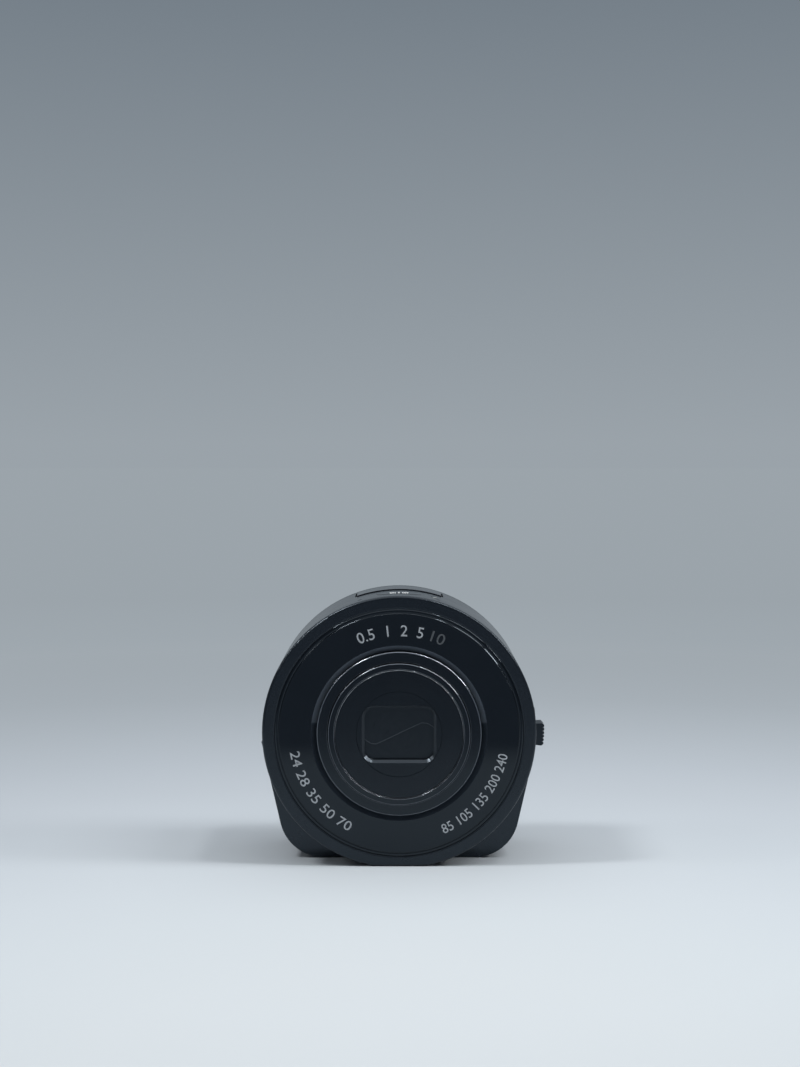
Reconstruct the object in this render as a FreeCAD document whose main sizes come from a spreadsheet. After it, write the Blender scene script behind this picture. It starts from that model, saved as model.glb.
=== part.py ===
import FreeCAD, Part
import math
import os

import Sketcher
from FreeCAD import Rotation, Vector

# Lens-style camera. X is to the right seen from the front, Y runs from front to rear, Z is up.
# The origin is the mouth of the tripod socket, on the surface that the camera stands on.
# Lengths are in millimetres, angles in degrees.
sizes = {
    # Round casing and its front rim
    "housing_radius": 31.2,
    "axis_height": 30.5,
    "housing_wall": 1.8,
    "front_depth": 16.65,
    "rear_depth": 16.65,
    "rim_setback": 1.75,
    "rim_width": 2.7,
    "rim_rounding": 0.6,
    "bezel_depth": 2.0,
    "lip_depth": 0.8,
    "lip_height": 0.8,
    "flange_thickness": 1.2,
    "bezel_edge": 0.15,
    "glue_gap": 0.05,
    "floor_thickness": 1.05,
    "stand_half_width": 6.0,
    # Foot that widens the casing down to the table
    "foot_setback": 9.95,
    "foot_distance": 0.7,
    "foot_slope": 12.9,
    "foot_top": 3.4,
    "foot_bevel": 1.0,
    "foot_corner": 10.3,
    # Glossy ring round the barrels
    "panel_setback": 1.45,
    "panel_thickness": 1.15,
    "panel_bevel_width": 1.1,
    "panel_bevel_depth": 0.45,
    "panel_barrel_gap": 0.45,
    "panel_cone_width": 1.35,
    "panel_cone_depth": 0.85,
    # Barrels
    "barrel_wall": 1.45,
    "barrel_running_gap": 0.25,
    "barrel_flange_width": 2.4,
    "barrel_flange_thickness": 1.2,
    "outer_barrel_step": 2.6,
    "outer_barrel_setback": 0.65,
    "outer_barrel_edge": 0.25,
    "outer_barrel_length": 16.5,
    "outer_barrel_wall": 1.5,
    "outer_lip_thickness": 1.0,
    "inner_barrel_radius": 16.1,
    "inner_barrel_wall": 1.35,
    "inner_barrel_edge": 0.15,
    "inner_barrel_length": 15.65,
    "barrel_foot_width": 1.4,
    "barrel_gap": 0.15,
    # Lens barrier
    "cover_setback": 0.25,
    "cover_thickness": 0.9,
    "cover_groove_radius": 9.7,
    "cover_groove_width": 0.2,
    "cover_groove_depth": 0.1,
    "window_half_width": 7.8,
    "window_half_height": 5.9,
    "window_rounding": 2.2,
    "window_bevel": 0.65,
    "blade_thickness": 0.3,
    "blade_gap": 0.1,
    "blade_overlap": 0.3,
    "blade_pivot_inset": 1.25,
    "blade_pin_radius": 0.45,
    "blade_boss_radius": 1.0,
    "blade_corner": 2.0,
    "blade_shoulder": 0.8,
    "blade_arm_length": 3.0,
    "blade_arm_drop": 1.3,
    "blade_arm_start": 66.0,
    "blade_arm_end": 204.0,
    "blade_hole_gap": 0.05,
    "barrier_base_thickness": 0.5,
    # Front lens group
    "front_lens_radius": 10.6,
    "front_lens_depth": 2.75,
    "front_lens_sag": 1.4,
    "front_lens_back_sag": 0.5,
    "lens_seat_gap": 0.05,
    "lens_seat_lip": 0.8,
    "lens_seat_thickness": 0.55,
    # Zoom group
    "zoom_group_gap": 0.4,
    "zoom_group_depth": 4.9,
    "zoom_group_radius": 12.0,
    "zoom_lens_radius": 6.55,
    "zoom_lens_depth": 2.5,
    "zoom_lens_sag": 0.9,
    "zoom_lens_back_sag": 0.27,
    "zoom_lens_inset": 0.2,
    "zoom_rear_lens_depth": 1.4,
    "zoom_lens_space": 0.2,
    "zoom_ear_depth": 2.0,
    "zoom_ear_angle": 24.0,
    "shutter_thickness": 1.8,
    "shutter_aperture": 4.2,
    # Focus group
    "focus_travel": 3.0,
    "focus_clearance": 0.4,
    "focus_depth": 2.4,
    "focus_ring_radius": 7.6,
    "focus_lens_radius": 5.15,
    "focus_lens_depth": 1.7,
    "focus_lens_sag": 0.5,
    "focus_arm_width": 2.0,
    "rod_distance": 11.5,
    "rod_radius": 0.6,
    "rod_gap": 0.04,
    "lead_screw_gap": 1.55,
    "lead_screw_radius": 0.6,
    "nut_thickness": 0.9,
    "focus_motor_radius": 3.0,
    "focus_motor_gap": 0.2,
    # Sensor and the plate that carries the lens unit
    "plate_front": 4.6,
    "plate_thickness": 1.4,
    "plate_gap": 0.1,
    "sensor_half_width": 5.0,
    "sensor_half_height": 4.2,
    "sensor_thickness": 1.3,
    "sensor_gap": 0.2,
    "filter_frame_half_width": 6.4,
    "filter_frame_half_height": 5.4,
    "filter_frame_depth": 1.7,
    "filter_thickness": 0.35,
    "sensor_board_half_width": 11.0,
    "sensor_board_half_height": 6.5,
    "sensor_board_thickness": 0.5,
    "ledge_width": 2.0,
    "ledge_thickness": 1.4,
    # Zoom drive
    "gear_module": 0.4,
    "ring_teeth": 110,
    "pinion_teeth": 14,
    "pressure_angle": 25.0,
    "gear_backlash": 0.06,
    "ring_gear_bore_gap": 0.2,
    "ring_gear_front": 0.9,
    "ring_gear_width": 2.3,
    "drive_angle": 135.0,
    "motor_radius": 3.6,
    "motor_length": 11.0,
    "motor_front": -11.45,
    "motor_shaft_radius": 0.5,
    "motor_shaft_gap": 0.03,
    "bracket_thickness": 1.0,
    "bracket_angle": 24.0,
    # Boards
    "board_thickness": 1.0,
    "board_gap": 1.1,
    "small_board_thickness": 0.8,
    "chip_thickness": 1.1,
    "processor_gap": 1.0,
    "processor_half_width": 4.0,
    "memory_x": 16.2,
    "memory_z": -1.0,
    "memory_half_width": 3.5,
    "power_chip_x": -5.0,
    "power_chip_z": 14.5,
    "power_chip_half_width": 2.7,
    "audio_chip_x": 6.0,
    "audio_chip_z": 14.0,
    "audio_chip_half_width": 2.0,
    "wireless_z": -15.5,
    "wireless_half_width": 6.0,
    "wireless_half_height": 4.5,
    # Battery, its tray and the rear shell
    "battery_half_width": 17.75,
    "battery_half_height": 21.5,
    "battery_thickness": 4.8,
    "battery_rounding": 1.5,
    "battery_side_gap": 0.2,
    "battery_rear_gap": 0.25,
    "battery_front_gap": 0.1,
    "tray_wall": 0.8,
    "contact_rise": 2.0,
    "contact_window": 4.0,
    "contact_pitch": 3.0,
    "contact_half_width": 0.4,
    "contact_height": 2.0,
    "rear_cover_depth": 3.2,
    "rear_rounding": 1.8,
    "door_thickness": 1.5,
    "door_margin": 2.6,
    "door_side_gap": 0.25,
    "door_floor_gap": 0.1,
    "door_edge": 21.05,
    "door_swing_gap": 0.8,
    "door_corner": 4.0,
    "door_rounding": 0.3,
    "door_pad_half_width": 6.6,
    "hinge_distance": 22.4,
    "hinge_radius": 1.15,
    "hinge_inset": 1.2,
    "hinge_half_length": 15.1,
    "knuckle_half_length": 8.0,
    "hinge_clearance": 0.2,
    "pin_radius": 0.5,
    "pin_gap": 0.03,
    "notch_radius": 4.5,
    # Screws
    "screw_radius": 0.6,
    "screw_gap": 0.03,
    "screw_head_radius": 1.2,
    "screw_head_depth": 0.6,
    "screw_length": 4.6,
    "boss_half_width": 2.2,
    "boss_depth": 6.5,
    "plate_screw_inset": 1.1,
    "small_screw_head_radius": 0.85,
    "small_screw_length": 2.2,
    # Tripod socket
    "socket_half_width": 4.4,
    "socket_top_gap": 1.8,
    "socket_cap": 0.8,
    "socket_corner": 1.0,
    "socket_flange_half_width": 5.6,
    "socket_flange_bottom": 1.75,
    "socket_flange_thickness": 1.0,
    "thread_radius": 2.6,
    # Zoom lever
    "lever_front": -8.5,
    "lever_width": 5.0,
    "lever_height": 2.3,
    "lever_angle": 9.0,
    "lever_drop": 2.4,
    "lever_swing": 4.0,
    "lever_gap": 0.1,
    "lever_neck_width": 1.8,
    "lever_neck_angle": 4.0,
    "lever_slider_angle": 17.0,
    "lever_slider_thickness": 0.9,
    "lever_slider_width": 4.0,
    "lever_tooth_pitch": 1.4,
    "lever_tooth_depth": 0.45,
    "lever_tooth_count": 5,
    # Shutter button
    "shutter_button_depth": 1.6,
    "shutter_button_radius": 3.6,
    "shutter_button_proud": 0.8,
    "shutter_button_travel": 0.8,
    "shutter_button_sink": 0.4,
    "button_flange_width": 0.6,
    "button_flange_thickness": 0.7,
    "button_gap": 0.1,
    # Power button and lamp
    "power_button_depth": -6.0,
    "power_button_half_length": 5.0,
    "power_button_half_width": 2.2,
    "power_button_proud": 0.04,
    "power_button_travel": 0.4,
    "power_button_sink": 0.8,
    "lamp_angle": 14.9,
    "lamp_radius": 0.7,
    "microphone_offset": 9.0,
    "microphone_depth": -9.5,
    "microphone_radius": 1.5,
    "microphone_hole": 0.5,
    # Switches under the buttons and the lever
    "switch_half_width": 2.0,
    "switch_half_depth": 1.4,
    "side_switch_height": 1.7,
    "top_switch_height": 2.4,
    # Bare plate let into the top
    "top_plate_angle": 39.0,
    "top_plate_front": 1.8,
    "top_plate_length": 9.2,
    "top_plate_thickness": 0.9,
    "top_plate_proud": 0.22,
    "top_plate_gap": 0.2,
    "top_plate_slack": 0.8,
    "top_plate_bevel": 0.4,
    # Status display on the left flank
    "display_front": -6.5,
    "display_length": 10.9,
    "display_bottom": -1.4,
    "display_height": 6.0,
    "display_inset": 0.5,
    "display_glass": 0.8,
    "display_frame": 0.9,
    "display_panel_thickness": 1.1,
    "display_panel_gap": 0.5,
    # Connector and strap bar on the left flank
    "usb_half_length": 3.75,
    "usb_depth": 5.0,
    "usb_thickness": 2.5,
    "usb_wall": 0.3,
    "usb_drop": 12.0,
    "usb_inset": 2.6,
    "strap_bar_radius": 0.7,
    "strap_depth": 1.5,
    "strap_drop": 22.2,
    "strap_half_height": 2.7,
    "strap_slot_half_width": 2.4,
    "strap_slot_depth": 7.6,
    "strap_bar_inset": 5.3,
    # Memory card
    "card_half_width": 5.5,
    "card_height": 15.0,
    "card_thickness": 0.7,
    "card_slot_wall": 0.4,
    "card_slot_bottom": 2.0,
    "card_play": 0.05,
    "card_side_room": 1.2,
    "card_bottom_room": 3.2,
}

document = FreeCAD.newDocument("LensStyleCamera")
sheet = document.addObject("Spreadsheet::Sheet", "dims")
nodes = []


class Size:
    """A length or an angle that knows its number and the formula that binds it to the sheet."""

    def __init__(self, number, formula):
        self.number = float(number)
        self.formula = formula

    def __add__(self, other):
        other = as_size(other)
        return Size(self.number + other.number, f"({self.formula} + {other.formula})")

    def __radd__(self, other):
        return as_size(other) + self

    def __sub__(self, other):
        other = as_size(other)
        return Size(self.number - other.number, f"({self.formula} - {other.formula})")

    def __rsub__(self, other):
        return as_size(other) - self

    def __mul__(self, other):
        other = as_size(other)
        return Size(self.number * other.number, f"({self.formula} * {other.formula})")

    def __rmul__(self, other):
        return as_size(other) * self

    def __truediv__(self, other):
        other = as_size(other)
        return Size(self.number / other.number, f"({self.formula} / {other.formula})")

    def __neg__(self):
        return Size(-self.number, f"(-1 * {self.formula})")


def as_size(value):
    if isinstance(value, Size):
        return value
    return Size(value, f"({value})")


def sine(angle):
    angle = as_size(angle)
    return Size(math.sin(math.radians(angle.number)), f"sin({angle.formula})")


def cosine(angle):
    angle = as_size(angle)
    return Size(math.cos(math.radians(angle.number)), f"cos({angle.formula})")


def square_root(value):
    return Size(math.sqrt(value.number), f"sqrt({value.formula})")


def larger(a, b):
    a = as_size(a)
    b = as_size(b)
    return Size(max(a.number, b.number), f"max({a.formula}; {b.formula})")


class Dimensions:
    """Every driving size by its name, as d.name."""


d = Dimensions()
for row, (name, number) in enumerate(sizes.items(), start=1):
    sheet.set(f"A{row}", name)
    sheet.set(f"B{row}", str(number))
    sheet.setAlias(f"B{row}", name)
    setattr(d, name, Size(number, f"dims.{name}"))
document.recompute()


# Radii about the lens axis that several pieces share, from the casing inwards
bore = d.housing_radius - d.housing_wall
panel_radius = d.housing_radius - d.rim_width - d.glue_gap
door_radius = d.housing_radius - d.door_margin
boss_start = bore - d.boss_depth
plate_screw_circle = bore - d.plate_screw_inset
display_face = d.housing_radius - d.display_inset
usb_mouth = d.housing_radius - d.usb_inset
strap_bar_distance = d.housing_radius - d.strap_bar_inset
shutter_flange_outer = bore - d.shutter_button_sink
shutter_flange_inner = shutter_flange_outer - d.button_flange_thickness
power_flange_top = bore - d.power_button_sink
power_flange_bottom = power_flange_top - d.button_flange_thickness

# Radii and places that follow the inner barrel
inner_barrel_bore = d.inner_barrel_radius - d.inner_barrel_wall
outer_barrel_radius = d.inner_barrel_radius + d.outer_barrel_step
barrel_bore_radius = outer_barrel_radius + d.barrel_running_gap
fixed_barrel_radius = barrel_bore_radius + d.barrel_wall
barrel_flange_radius = fixed_barrel_radius + d.barrel_flange_width
lens_screw_circle = fixed_barrel_radius + d.barrel_flange_width / 2
panel_bore_radius = outer_barrel_radius + d.panel_barrel_gap
panel_inner_radius = panel_bore_radius + d.panel_cone_width
blade_pivot_radius = inner_barrel_bore - d.blade_pivot_inset
lead_screw_distance = inner_barrel_bore - d.lead_screw_radius - d.lead_screw_gap
processor_x = -d.sensor_board_half_width - d.processor_gap - d.processor_half_width
processor_z = d.small_screw_head_radius + d.processor_gap + d.processor_half_width
pitch_radius_ring = d.gear_module * d.ring_teeth / 2
pitch_radius_pinion = d.gear_module * d.pinion_teeth / 2
drive_distance = pitch_radius_ring + pitch_radius_pinion

# The flat that the round pieces stand on, with heights measured from the lens axis
floor_level = d.floor_thickness - d.axis_height
flat_top = larger(floor_level, d.floor_thickness - d.housing_radius)
flat_square = d.housing_radius * d.housing_radius - d.axis_height * d.axis_height
flat_half_width = square_root(larger(flat_square, d.stand_half_width * d.stand_half_width)) - d.glue_gap
socket_height = d.axis_height - pitch_radius_ring - d.gear_module - d.socket_top_gap
thread_depth = socket_height - d.socket_cap

# Levels along Y that several pieces share
front = -d.front_depth
rear = d.rear_depth
rim_face = front + d.rim_setback
panel_face = front + d.panel_setback
panel_back = panel_face + d.panel_thickness
flange_back = panel_back + d.flange_thickness
bezel_back = rim_face + d.bezel_depth
foot_front = front + d.foot_setback
cover_front = rear - d.rear_cover_depth
door_inside = rear - d.door_thickness
door_floor = door_inside - d.door_floor_gap
battery_back = door_inside - d.battery_rear_gap
battery_front = battery_back - d.battery_thickness
tray_inside = battery_front - d.battery_front_gap
tray_front = tray_inside - d.tray_wall
plate_back = d.plate_front + d.plate_thickness
board_front = plate_back + d.ledge_thickness
board_back = board_front + d.board_thickness
cover_face = front + d.cover_setback
cover_back = cover_face + d.cover_thickness
upper_blade_front = cover_back + d.blade_gap
lower_blade_front = upper_blade_front + d.blade_thickness + d.blade_gap
barrier_base_front = lower_blade_front + d.blade_thickness + d.blade_gap
barrier_base_back = barrier_base_front + d.barrier_base_thickness
front_lens_front = barrier_base_back + d.lens_seat_gap * 2
front_lens_back = front_lens_front + d.front_lens_depth
front_lens_rim = front_lens_back + d.front_lens_back_sag
front_holder_back = front_lens_rim + d.lens_seat_thickness
zoom_front = front_holder_back + d.zoom_group_gap
zoom_back = zoom_front + d.zoom_group_depth
shutter_back = zoom_back + d.shutter_thickness
focus_front = shutter_back + d.focus_clearance + d.focus_travel
focus_back = focus_front + d.focus_depth
ring_gear_back = d.ring_gear_front + d.ring_gear_width
bracket_front = d.motor_front + d.motor_length
bracket_back = bracket_front + d.bracket_thickness


# Helpers


def bind(thing, path, value):
    thing.setExpression(path, as_size(value).formula)


def new_body(label):
    """A body in the frame of the lens axis: its own Y axis is the lens axis."""
    body = document.addObject("PartDesign::Body", label)
    body.Label = label
    bind(body, "Placement.Base.z", d.axis_height)
    return body


def turn_body(body, angle):
    """Turns a body about the lens axis, so that its own X axis points at the given angle."""
    body.Placement.Rotation = Rotation(Vector(0, -1, 0), as_size(angle).number)
    bind(body, "Placement.Rotation.Angle", angle)


def origin_feature(body, role):
    return [feature for feature in body.Origin.OriginFeatures if feature.Role == role][0]


def new_sketch(body, role, offset=0):
    """A sketch on one of the body's own planes, moved along that plane's normal."""
    sketch = body.newObject("Sketcher::SketchObject", f"{body.Label}_sketch")
    sketch.AttachmentSupport = (origin_feature(body, role), [""])
    sketch.MapMode = "FlatFace"
    bind(sketch, "AttachmentOffset.Base.z", offset)
    return sketch


def turn_sketch(sketch, angle):
    """Turns a sketch about the lens axis, down from the +X side."""
    sketch.AttachmentOffset.Rotation = Rotation(Vector(0, 1, 0), as_size(angle).number)
    bind(sketch, "AttachmentOffset.Rotation.Angle", angle)


def fix_point(sketch, geometry, vertex, x, y):
    """Places a vertex at (x, y), both bound to the sheet."""
    for kind, axis, value in (("DistanceX", -2, as_size(x)), ("DistanceY", -1, as_size(y))):
        if value.formula == "(0)":
            sketch.addConstraint(Sketcher.Constraint("PointOnObject", geometry, vertex, axis))
            continue
        index = sketch.addConstraint(Sketcher.Constraint(kind, -1, 1, geometry, vertex, value.number))
        bind(sketch, f"Constraints[{index}]", value)


def fix_radius(sketch, geometry, radius):
    index = sketch.addConstraint(Sketcher.Constraint("Radius", geometry, as_size(radius).number))
    bind(sketch, f"Constraints[{index}]", radius)


def vector(x, y):
    return Vector(as_size(x).number, as_size(y).number, 0)


def draw_polygon(sketch, points):
    first = sketch.GeometryCount
    count = len(points)
    for index in range(count):
        start = vector(*points[index])
        end = vector(*points[(index + 1) % count])
        sketch.addGeometry(Part.LineSegment(start, end))
    for index in range(count):
        following = first + (index + 1) % count
        sketch.addConstraint(Sketcher.Constraint("Coincident", first + index, 2, following, 1))
        fix_point(sketch, first + index, 1, *points[index])


def draw_box(sketch, x0, x1, y0, y1):
    draw_polygon(sketch, [(x0, y0), (x1, y0), (x1, y1), (x0, y1)])


def draw_circle(sketch, x, y, radius):
    centre = vector(x, y)
    index = sketch.addGeometry(Part.Circle(centre, Vector(0, 0, 1), as_size(radius).number))
    fix_radius(sketch, index, radius)
    fix_point(sketch, index, 3, x, y)


def draw_rounded_box(sketch, x0, x1, y0, y1, rounding):
    """A rectangle whose corners are arcs of one radius."""
    x0, x1, y0, y1 = (as_size(value) for value in (x0, x1, y0, y1))
    rounding = as_size(rounding)
    r = rounding.number
    centres = [
        (x1 - rounding, y1 - rounding),
        (x0 + rounding, y1 - rounding),
        (x0 + rounding, y0 + rounding),
        (x1 - rounding, y0 + rounding),
    ]
    arcs = []
    for quarter, (x, y) in enumerate(centres):
        circle = Part.Circle(vector(x, y), Vector(0, 0, 1), r)
        start = quarter * math.pi / 2
        arcs.append(sketch.addGeometry(Part.ArcOfCircle(circle, start, start + math.pi / 2)))
    for quarter in range(4):
        following = (quarter + 1) % 4
        start = sketch.getPoint(arcs[quarter], 2)
        end = sketch.getPoint(arcs[following], 1)
        line = sketch.addGeometry(Part.LineSegment(start, end))
        sketch.addConstraint(Sketcher.Constraint("Tangent", arcs[quarter], 2, line, 1))
        sketch.addConstraint(Sketcher.Constraint("Tangent", line, 2, arcs[following], 1))
    for arc, (x, y) in zip(arcs, centres):
        fix_point(sketch, arc, 3, x, y)
        fix_radius(sketch, arc, rounding)


def draw_cut_circle(sketch, radius, cut):
    """A circle about the lens axis with its left side cut off at x = -cut."""
    radius = as_size(radius)
    cut = as_size(cut)
    angle = math.pi - math.acos(cut.number / radius.number)
    circle = Part.Circle(Vector(0, 0, 0), Vector(0, 0, 1), radius.number)
    arc = sketch.addGeometry(Part.ArcOfCircle(circle, -angle, angle))
    line = sketch.addGeometry(Part.LineSegment(sketch.getPoint(arc, 2), sketch.getPoint(arc, 1)))
    sketch.addConstraint(Sketcher.Constraint("Coincident", arc, 2, line, 1))
    sketch.addConstraint(Sketcher.Constraint("Coincident", line, 2, arc, 1))
    sketch.addConstraint(Sketcher.Constraint("Coincident", arc, 3, -1, 1))
    sketch.addConstraint(Sketcher.Constraint("Vertical", line))
    fix_radius(sketch, arc, radius)
    index = sketch.addConstraint(Sketcher.Constraint("DistanceX", -1, 1, line, 1, -cut.number))
    bind(sketch, f"Constraints[{index}]", -cut)


def draw_floor_circle(sketch, radius, level):
    """A circle about the lens axis, cut off at the given level where it reaches below it."""
    radius = as_size(radius)
    level = as_size(level)
    if -level.number >= radius.number:
        draw_circle(sketch, 0, 0, radius)
        return
    start = math.asin(level.number / radius.number)
    circle = Part.Circle(Vector(0, 0, 0), Vector(0, 0, 1), radius.number)
    arc = sketch.addGeometry(Part.ArcOfCircle(circle, start, math.pi - start))
    line = sketch.addGeometry(Part.LineSegment(sketch.getPoint(arc, 2), sketch.getPoint(arc, 1)))
    sketch.addConstraint(Sketcher.Constraint("Coincident", arc, 2, line, 1))
    sketch.addConstraint(Sketcher.Constraint("Coincident", line, 2, arc, 1))
    sketch.addConstraint(Sketcher.Constraint("Coincident", arc, 3, -1, 1))
    sketch.addConstraint(Sketcher.Constraint("Horizontal", line))
    fix_radius(sketch, arc, radius)
    index = sketch.addConstraint(Sketcher.Constraint("DistanceY", -1, 1, line, 1, level.number))
    bind(sketch, f"Constraints[{index}]", level)


def add_feature(body, kind, sketch):
    feature = body.newObject(f"PartDesign::{kind}", f"{body.Label}_{kind.lower()}")
    feature.Profile = sketch
    return feature


def pad(body, sketch, length):
    """Adds material from the sketch along its plane's normal."""
    feature = add_feature(body, "Pad", sketch)
    bind(feature, "Length", length)
    return feature


def pocket(body, sketch, length):
    """Removes material from the sketch against its plane's normal."""
    feature = add_feature(body, "Pocket", sketch)
    bind(feature, "Length", length)
    return feature


def turn_profile(body, kind, sketch, axis, angle=360):
    """Revolves or grooves a profile about an axis of its sketch, evenly to both sides."""
    feature = add_feature(body, kind, sketch)
    feature.ReferenceAxis = (sketch, [axis])
    feature.Midplane = True
    bind(feature, "Angle", angle)
    return feature


def pad_y(body, y0, y1, draw, *values):
    """Adds an outline drawn in X and Z, from y0 back to y1."""
    sketch = new_sketch(body, "XZ_Plane", -as_size(y1))
    draw(sketch, *values)
    return pad(body, sketch, as_size(y1) - y0)


def pocket_y(body, y0, y1, draw, *values):
    """Removes an outline drawn in X and Z, from y0 back to y1."""
    sketch = new_sketch(body, "XZ_Plane", -as_size(y0))
    draw(sketch, *values)
    return pocket(body, sketch, as_size(y1) - y0)


def pad_z(body, z0, z1, draw, *values):
    """Adds an outline drawn in X and Y, from z0 up to z1, measured from the lens axis."""
    sketch = new_sketch(body, "XY_Plane", z0)
    draw(sketch, *values)
    return pad(body, sketch, as_size(z1) - z0)


def pocket_z(body, z0, z1, draw, *values):
    """Removes an outline drawn in X and Y, from z0 up to z1, measured from the lens axis."""
    sketch = new_sketch(body, "XY_Plane", z1)
    draw(sketch, *values)
    return pocket(body, sketch, as_size(z1) - z0)


def pad_x(body, x0, x1, draw, *values):
    """Adds an outline drawn in Y and Z, from x0 to x1."""
    sketch = new_sketch(body, "YZ_Plane", x0)
    draw(sketch, *values)
    return pad(body, sketch, as_size(x1) - x0)


def pocket_x(body, x0, x1, draw, *values):
    """Removes an outline drawn in Y and Z, from x0 to x1."""
    sketch = new_sketch(body, "YZ_Plane", x1)
    draw(sketch, *values)
    return pocket(body, sketch, as_size(x1) - x0)


def ring(body, points, kind="Revolution", angle=360):
    """Turns a profile of (radius, y) points about the lens axis, centred on the +X side."""
    sketch = new_sketch(body, "XY_Plane")
    draw_polygon(sketch, points)
    return turn_profile(body, kind, sketch, "V_Axis", angle)


def top_sector(body, kind, y0, y1, inner, outer, angle):
    """Turns a rectangle about the lens axis, centred on the top."""
    sketch = new_sketch(body, "YZ_Plane")
    draw_box(sketch, y0, y1, inner, outer)
    return turn_profile(body, kind, sketch, "H_Axis", angle)


def pick_edges(feature, chosen):
    """Names of the edges whose middle point and edge pass the given test."""
    document.recompute()
    names = []
    for index, edge in enumerate(feature.Shape.Edges, start=1):
        middle = edge.valueAt((edge.FirstParameter + edge.LastParameter) / 2)
        if chosen(edge, middle):
            names.append(f"Edge{index}")
    return names


def finish_edges(body, kind, feature, chosen, amount):
    """Rounds or bevels the chosen edges of a feature."""
    dressed = body.newObject(f"PartDesign::{kind}", f"{body.Label}_{kind.lower()}")
    dressed.Base = (feature, pick_edges(feature, chosen))
    bind(dressed, "Radius" if kind == "Fillet" else "Size", amount)
    return dressed


def near(a, b):
    return abs(a - as_size(b).number) < 1e-4


def is_circle(edge, radius):
    return hasattr(edge.Curve, "Radius") and near(edge.Curve.Radius, radius)


def cut_flat_below(body, level=-d.axis_height):
    """Cuts a round piece off at a level, as a rule the surface that the camera stands on."""
    reach = d.housing_radius * 2
    return pocket_z(body, -reach, level, draw_box, -reach, reach, -reach, reach)


def add_flat(body, y0, y1):
    """Fills a round piece down to the surface that the camera stands on."""
    flat = (-flat_half_width, flat_half_width, -d.axis_height, flat_top)
    return pad_y(body, y0, y1, draw_box, *flat)


def node(thing):
    nodes.append(thing)
    return thing


def place(thing, x, y, z):
    bind(thing, "Placement.Base.x", x)
    bind(thing, "Placement.Base.y", y)
    bind(thing, "Placement.Base.z", as_size(z) + d.axis_height)


def block(label, x0, x1, y0, y1, z0, z1):
    """A box between two corners, heights measured from the lens axis."""
    thing = document.addObject("Part::Box", label)
    thing.Label = label
    bind(thing, "Length", as_size(x1) - x0)
    bind(thing, "Width", as_size(y1) - y0)
    bind(thing, "Height", as_size(z1) - z0)
    place(thing, x0, y0, z0)
    return thing


def rod_y(label, x, z, radius, y0, y1):
    """A cylinder that lies along the lens axis."""
    thing = document.addObject("Part::Cylinder", label)
    thing.Label = label
    bind(thing, "Radius", radius)
    bind(thing, "Height", as_size(y1) - y0)
    thing.Placement.Rotation = Rotation(Vector(1, 0, 0), -90)
    place(thing, x, y0, z)
    return thing


def rod_z(label, x, y, radius, z0, z1):
    """An upright cylinder."""
    thing = document.addObject("Part::Cylinder", label)
    thing.Label = label
    bind(thing, "Radius", radius)
    bind(thing, "Height", as_size(z1) - z0)
    place(thing, x, y, z0)
    return thing


def cut(label, base, tool):
    thing = document.addObject("Part::Cut", label)
    thing.Label = label
    thing.Base = base
    thing.Tool = tool
    return thing


def join(label, things):
    thing = document.addObject("Part::MultiFuse", label)
    thing.Label = label
    thing.Shapes = things
    return thing


def group(label, things):
    """Several separate solids that share one node."""
    thing = document.addObject("Part::Compound", label)
    thing.Label = label
    thing.Links = things
    return thing


def on_circle(radius, angle):
    """X and Z of a point round the lens axis, at an angle from +X towards the top."""
    return as_size(radius) * cosine(angle), as_size(radius) * sine(angle)


def lamp_place():
    """X and Z of the lamp's tip, on the casing's round top."""
    return on_circle(d.housing_radius, 90 - d.lamp_angle)


# Casing


def make_front_ring():
    body = new_body("front_ring")
    inner = panel_inner_radius
    step = d.housing_radius - d.rim_width
    lip = bore + d.lip_height
    profile = [
        (inner, panel_back),
        (step, panel_back),
        (step, rim_face),
        (d.housing_radius, rim_face),
        (d.housing_radius, bezel_back),
        (lip, bezel_back),
        (lip, bezel_back + d.lip_depth),
        (bore, bezel_back + d.lip_depth),
        (bore, flange_back),
        (inner, flange_back),
    ]
    turned = ring(body, profile)
    rim = finish_edges(
        body,
        "Fillet",
        turned,
        lambda edge, middle: is_circle(edge, d.housing_radius) and near(middle.y, rim_face),
        d.rim_rounding,
    )
    finish_edges(
        body,
        "Fillet",
        rim,
        lambda edge, middle: is_circle(edge, step) and near(middle.y, rim_face),
        d.bezel_edge,
    )
    cut_flat_below(body, floor_level - d.lip_height)
    add_flat(body, rim_face + d.rim_rounding, bezel_back)
    cut_flat_below(body)
    return node(body)


def make_front_panel():
    body = new_body("front_panel")
    profile = [
        (panel_bore_radius, panel_back),
        (panel_radius, panel_back),
        (panel_radius, panel_face + d.panel_bevel_depth),
        (panel_radius - d.panel_bevel_width, panel_face),
        (panel_inner_radius, panel_face),
        (panel_bore_radius, panel_face + d.panel_cone_depth),
    ]
    ring(body, profile)
    cut_flat_below(body, floor_level + d.glue_gap)
    return node(body)


def add_foot(body):
    """The foot's flanks lean in towards the table and meet it in round corners."""

    def flank(drop):
        away = d.housing_radius + d.foot_distance
        return (away - drop * sine(d.foot_slope)) / cosine(d.foot_slope)

    shoulder = flank(d.foot_top)
    heel = flank(d.axis_height)
    points = [
        (-shoulder + d.foot_bevel, -d.foot_top + d.foot_bevel),
        (-shoulder, -d.foot_top),
        (-heel, -d.axis_height),
        (heel, -d.axis_height),
        (shoulder, -d.foot_top),
        (shoulder - d.foot_bevel, -d.foot_top + d.foot_bevel),
    ]
    solid = pad_y(body, foot_front, cover_front, draw_polygon, points)
    return finish_edges(
        body,
        "Fillet",
        solid,
        lambda edge, middle: near(abs(middle.x), heel) and near(middle.z, -d.axis_height),
        d.foot_corner,
    )


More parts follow.
